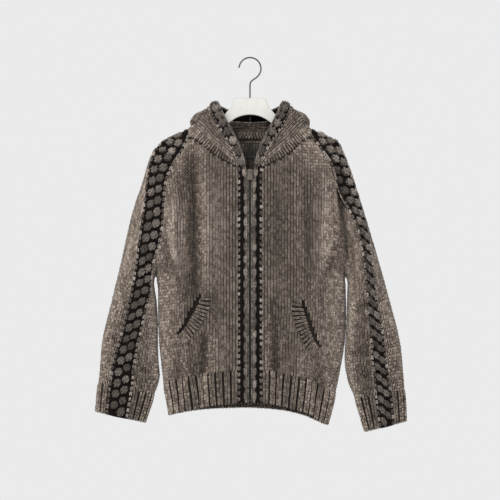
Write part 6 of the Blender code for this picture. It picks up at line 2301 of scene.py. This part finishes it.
@dataclass
class NeckLabel(Tailor):
    """The bare ribbon label inside the back of the neck."""

    HALF_WIDTH, LOW_Z, HIGH_Z = 0.026, -0.232, -0.192
    BEHIND, BULGE, WALL = 0.0057, 0.0006, 0.0006
    SEAM_ROWS, SEAM_COLUMNS, THREAD = (0.6, 9.4), (0.4, 13.4, 0.62), 0.0002

    def build(self) -> None:
        """Makes the label and the thread that sews it down."""
        half, u = BACK_HALF[Side.LEFT], np.linspace(0, 1, BodyHalf.SHARES)
        xs, rows = np.linspace(-self.HALF_WIDTH, self.HALF_WIDTH, 15), []
        for z in np.linspace(self.LOW_Z, self.HIGH_Z, 11):
            line = half.point(u, np.full(len(u), z))
            y = np.interp(np.abs(xs), line[:, 0], line[:, 1]) - self.BEHIND
            y = y - self.BULGE * np.cos(xs / self.HALF_WIDTH * 4.0)
            rows.append(np.stack([xs, y, np.full(len(xs), z)], -1))
        grid = ClothGrid.of(np.array(rows), -1.0)
        if grid.normals[5, 7, 1] > 0:
            grid = grid.inside()
        shell = self.cover("neck_label", grid, self.WALL, self.finishes.ribbon, "label")
        stitched, arch = [], (0.0001 + 0.0002 * np.sin(np.linspace(0, math.pi, 4)))[:, None]
        for row in self.SEAM_ROWS:
            for start in np.arange(*self.SEAM_COLUMNS):
                points, out = grid.at(np.full(4, row), start + np.linspace(0, 0.4, 4))
                stitched.append(points + out * arch)
        thread = self.settle(
            self.shop.draw("neck_label_thread", stitched, self.THREAD, 5, self.finishes.contrast), "label")
        declare(shell, grid)


@dataclass
class HangerHook(Tailor):
    """The round wire hook, and the finishes of the hanger and the slider.

    Attributes:
        wire: radius of the wire.
        radius: radius of the hook's circle, along the wire's middle.
    """

    wire: float = 0.0017
    radius: float = 0.0252

    SHANK = ((0.0165, -0.0430), (0.0095, -0.0480), (0.0030, -0.0525), (0.0006, -0.0560), (0.0, -0.0610),
             (0.0, -0.0760), (0.0, -0.1029))

    def build(self, nodes: dict[str, bpy.types.Object]) -> None:
        """Makes the hook and dresses the solids that stay.

        Args:
            nodes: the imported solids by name.
        """
        centre = -(self.radius - self.wire)
        angles = np.radians(np.linspace(176, -32, 60))
        circle = np.stack([self.radius * np.cos(angles), np.zeros(len(angles)),
                           centre + self.radius * np.sin(angles)], -1)
        stops = np.array([circle[-1], *((x, 0.0, z) for x, z in self.SHANK)])
        neck = polyline(stops, np.linspace(0, 1, 40))
        for _ in range(3):
            neck[1:-1] = (neck[:-2] + 2 * neck[1:-1] + neck[2:]) / 4
        path = np.concatenate([circle[:-1], neck])
        hook = self.shop.draw("hook_wire", [path], self.wire, 16, self.finishes.wire)
        self.settle(hook, "steel", "hook")
        for name, finish in (("hanger_body", self.finishes.plastic), ("zip_slider", self.finishes.brass),
                             ("zip_pull", self.finishes.brass)):
            node = nodes[name]
            node.data.materials.clear()
            node.data.materials.append(finish)


def main() -> None:
    """Builds the studio and every piece in order."""
    logging.basicConfig(level=logging.INFO, format="%(name)s %(message)s", stream=sys.stdout)
    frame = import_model()
    Studio().build()
    kit = ShapeKit()
    kit.stitch()
    kit.puff("bobble", 3, 4)
    kit.puff("link", 2, 5, 16)
    kit.puff("picot", 1, 2, 8)
    kit.tooth()
    shared = (Finishes().build(), Workshop(), kit, Pattern())
    BodyPanels(*shared).build()
    RibbedPieces(*shared).build()
    Sleeves(*shared).build()
    strips = Strips(*shared)
    strips.build()
    Trims(*shared).build()
    Hood(*shared, middles=strips.middles).build()
    Pockets(*shared).build()
    Closure(*shared).build()
    NeckLabel(*shared).build()
    HangerHook(*shared).build(frame["nodes"])
    kit.clear()
    faces = sum(len(p.data.loop_triangles) or sum(len(q.vertices) - 2 for q in p.data.polygons)
                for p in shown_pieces() if p.type == "MESH")
    LOG.info("triangles in all: %d", faces)


if __name__ == "__main__":
    main()
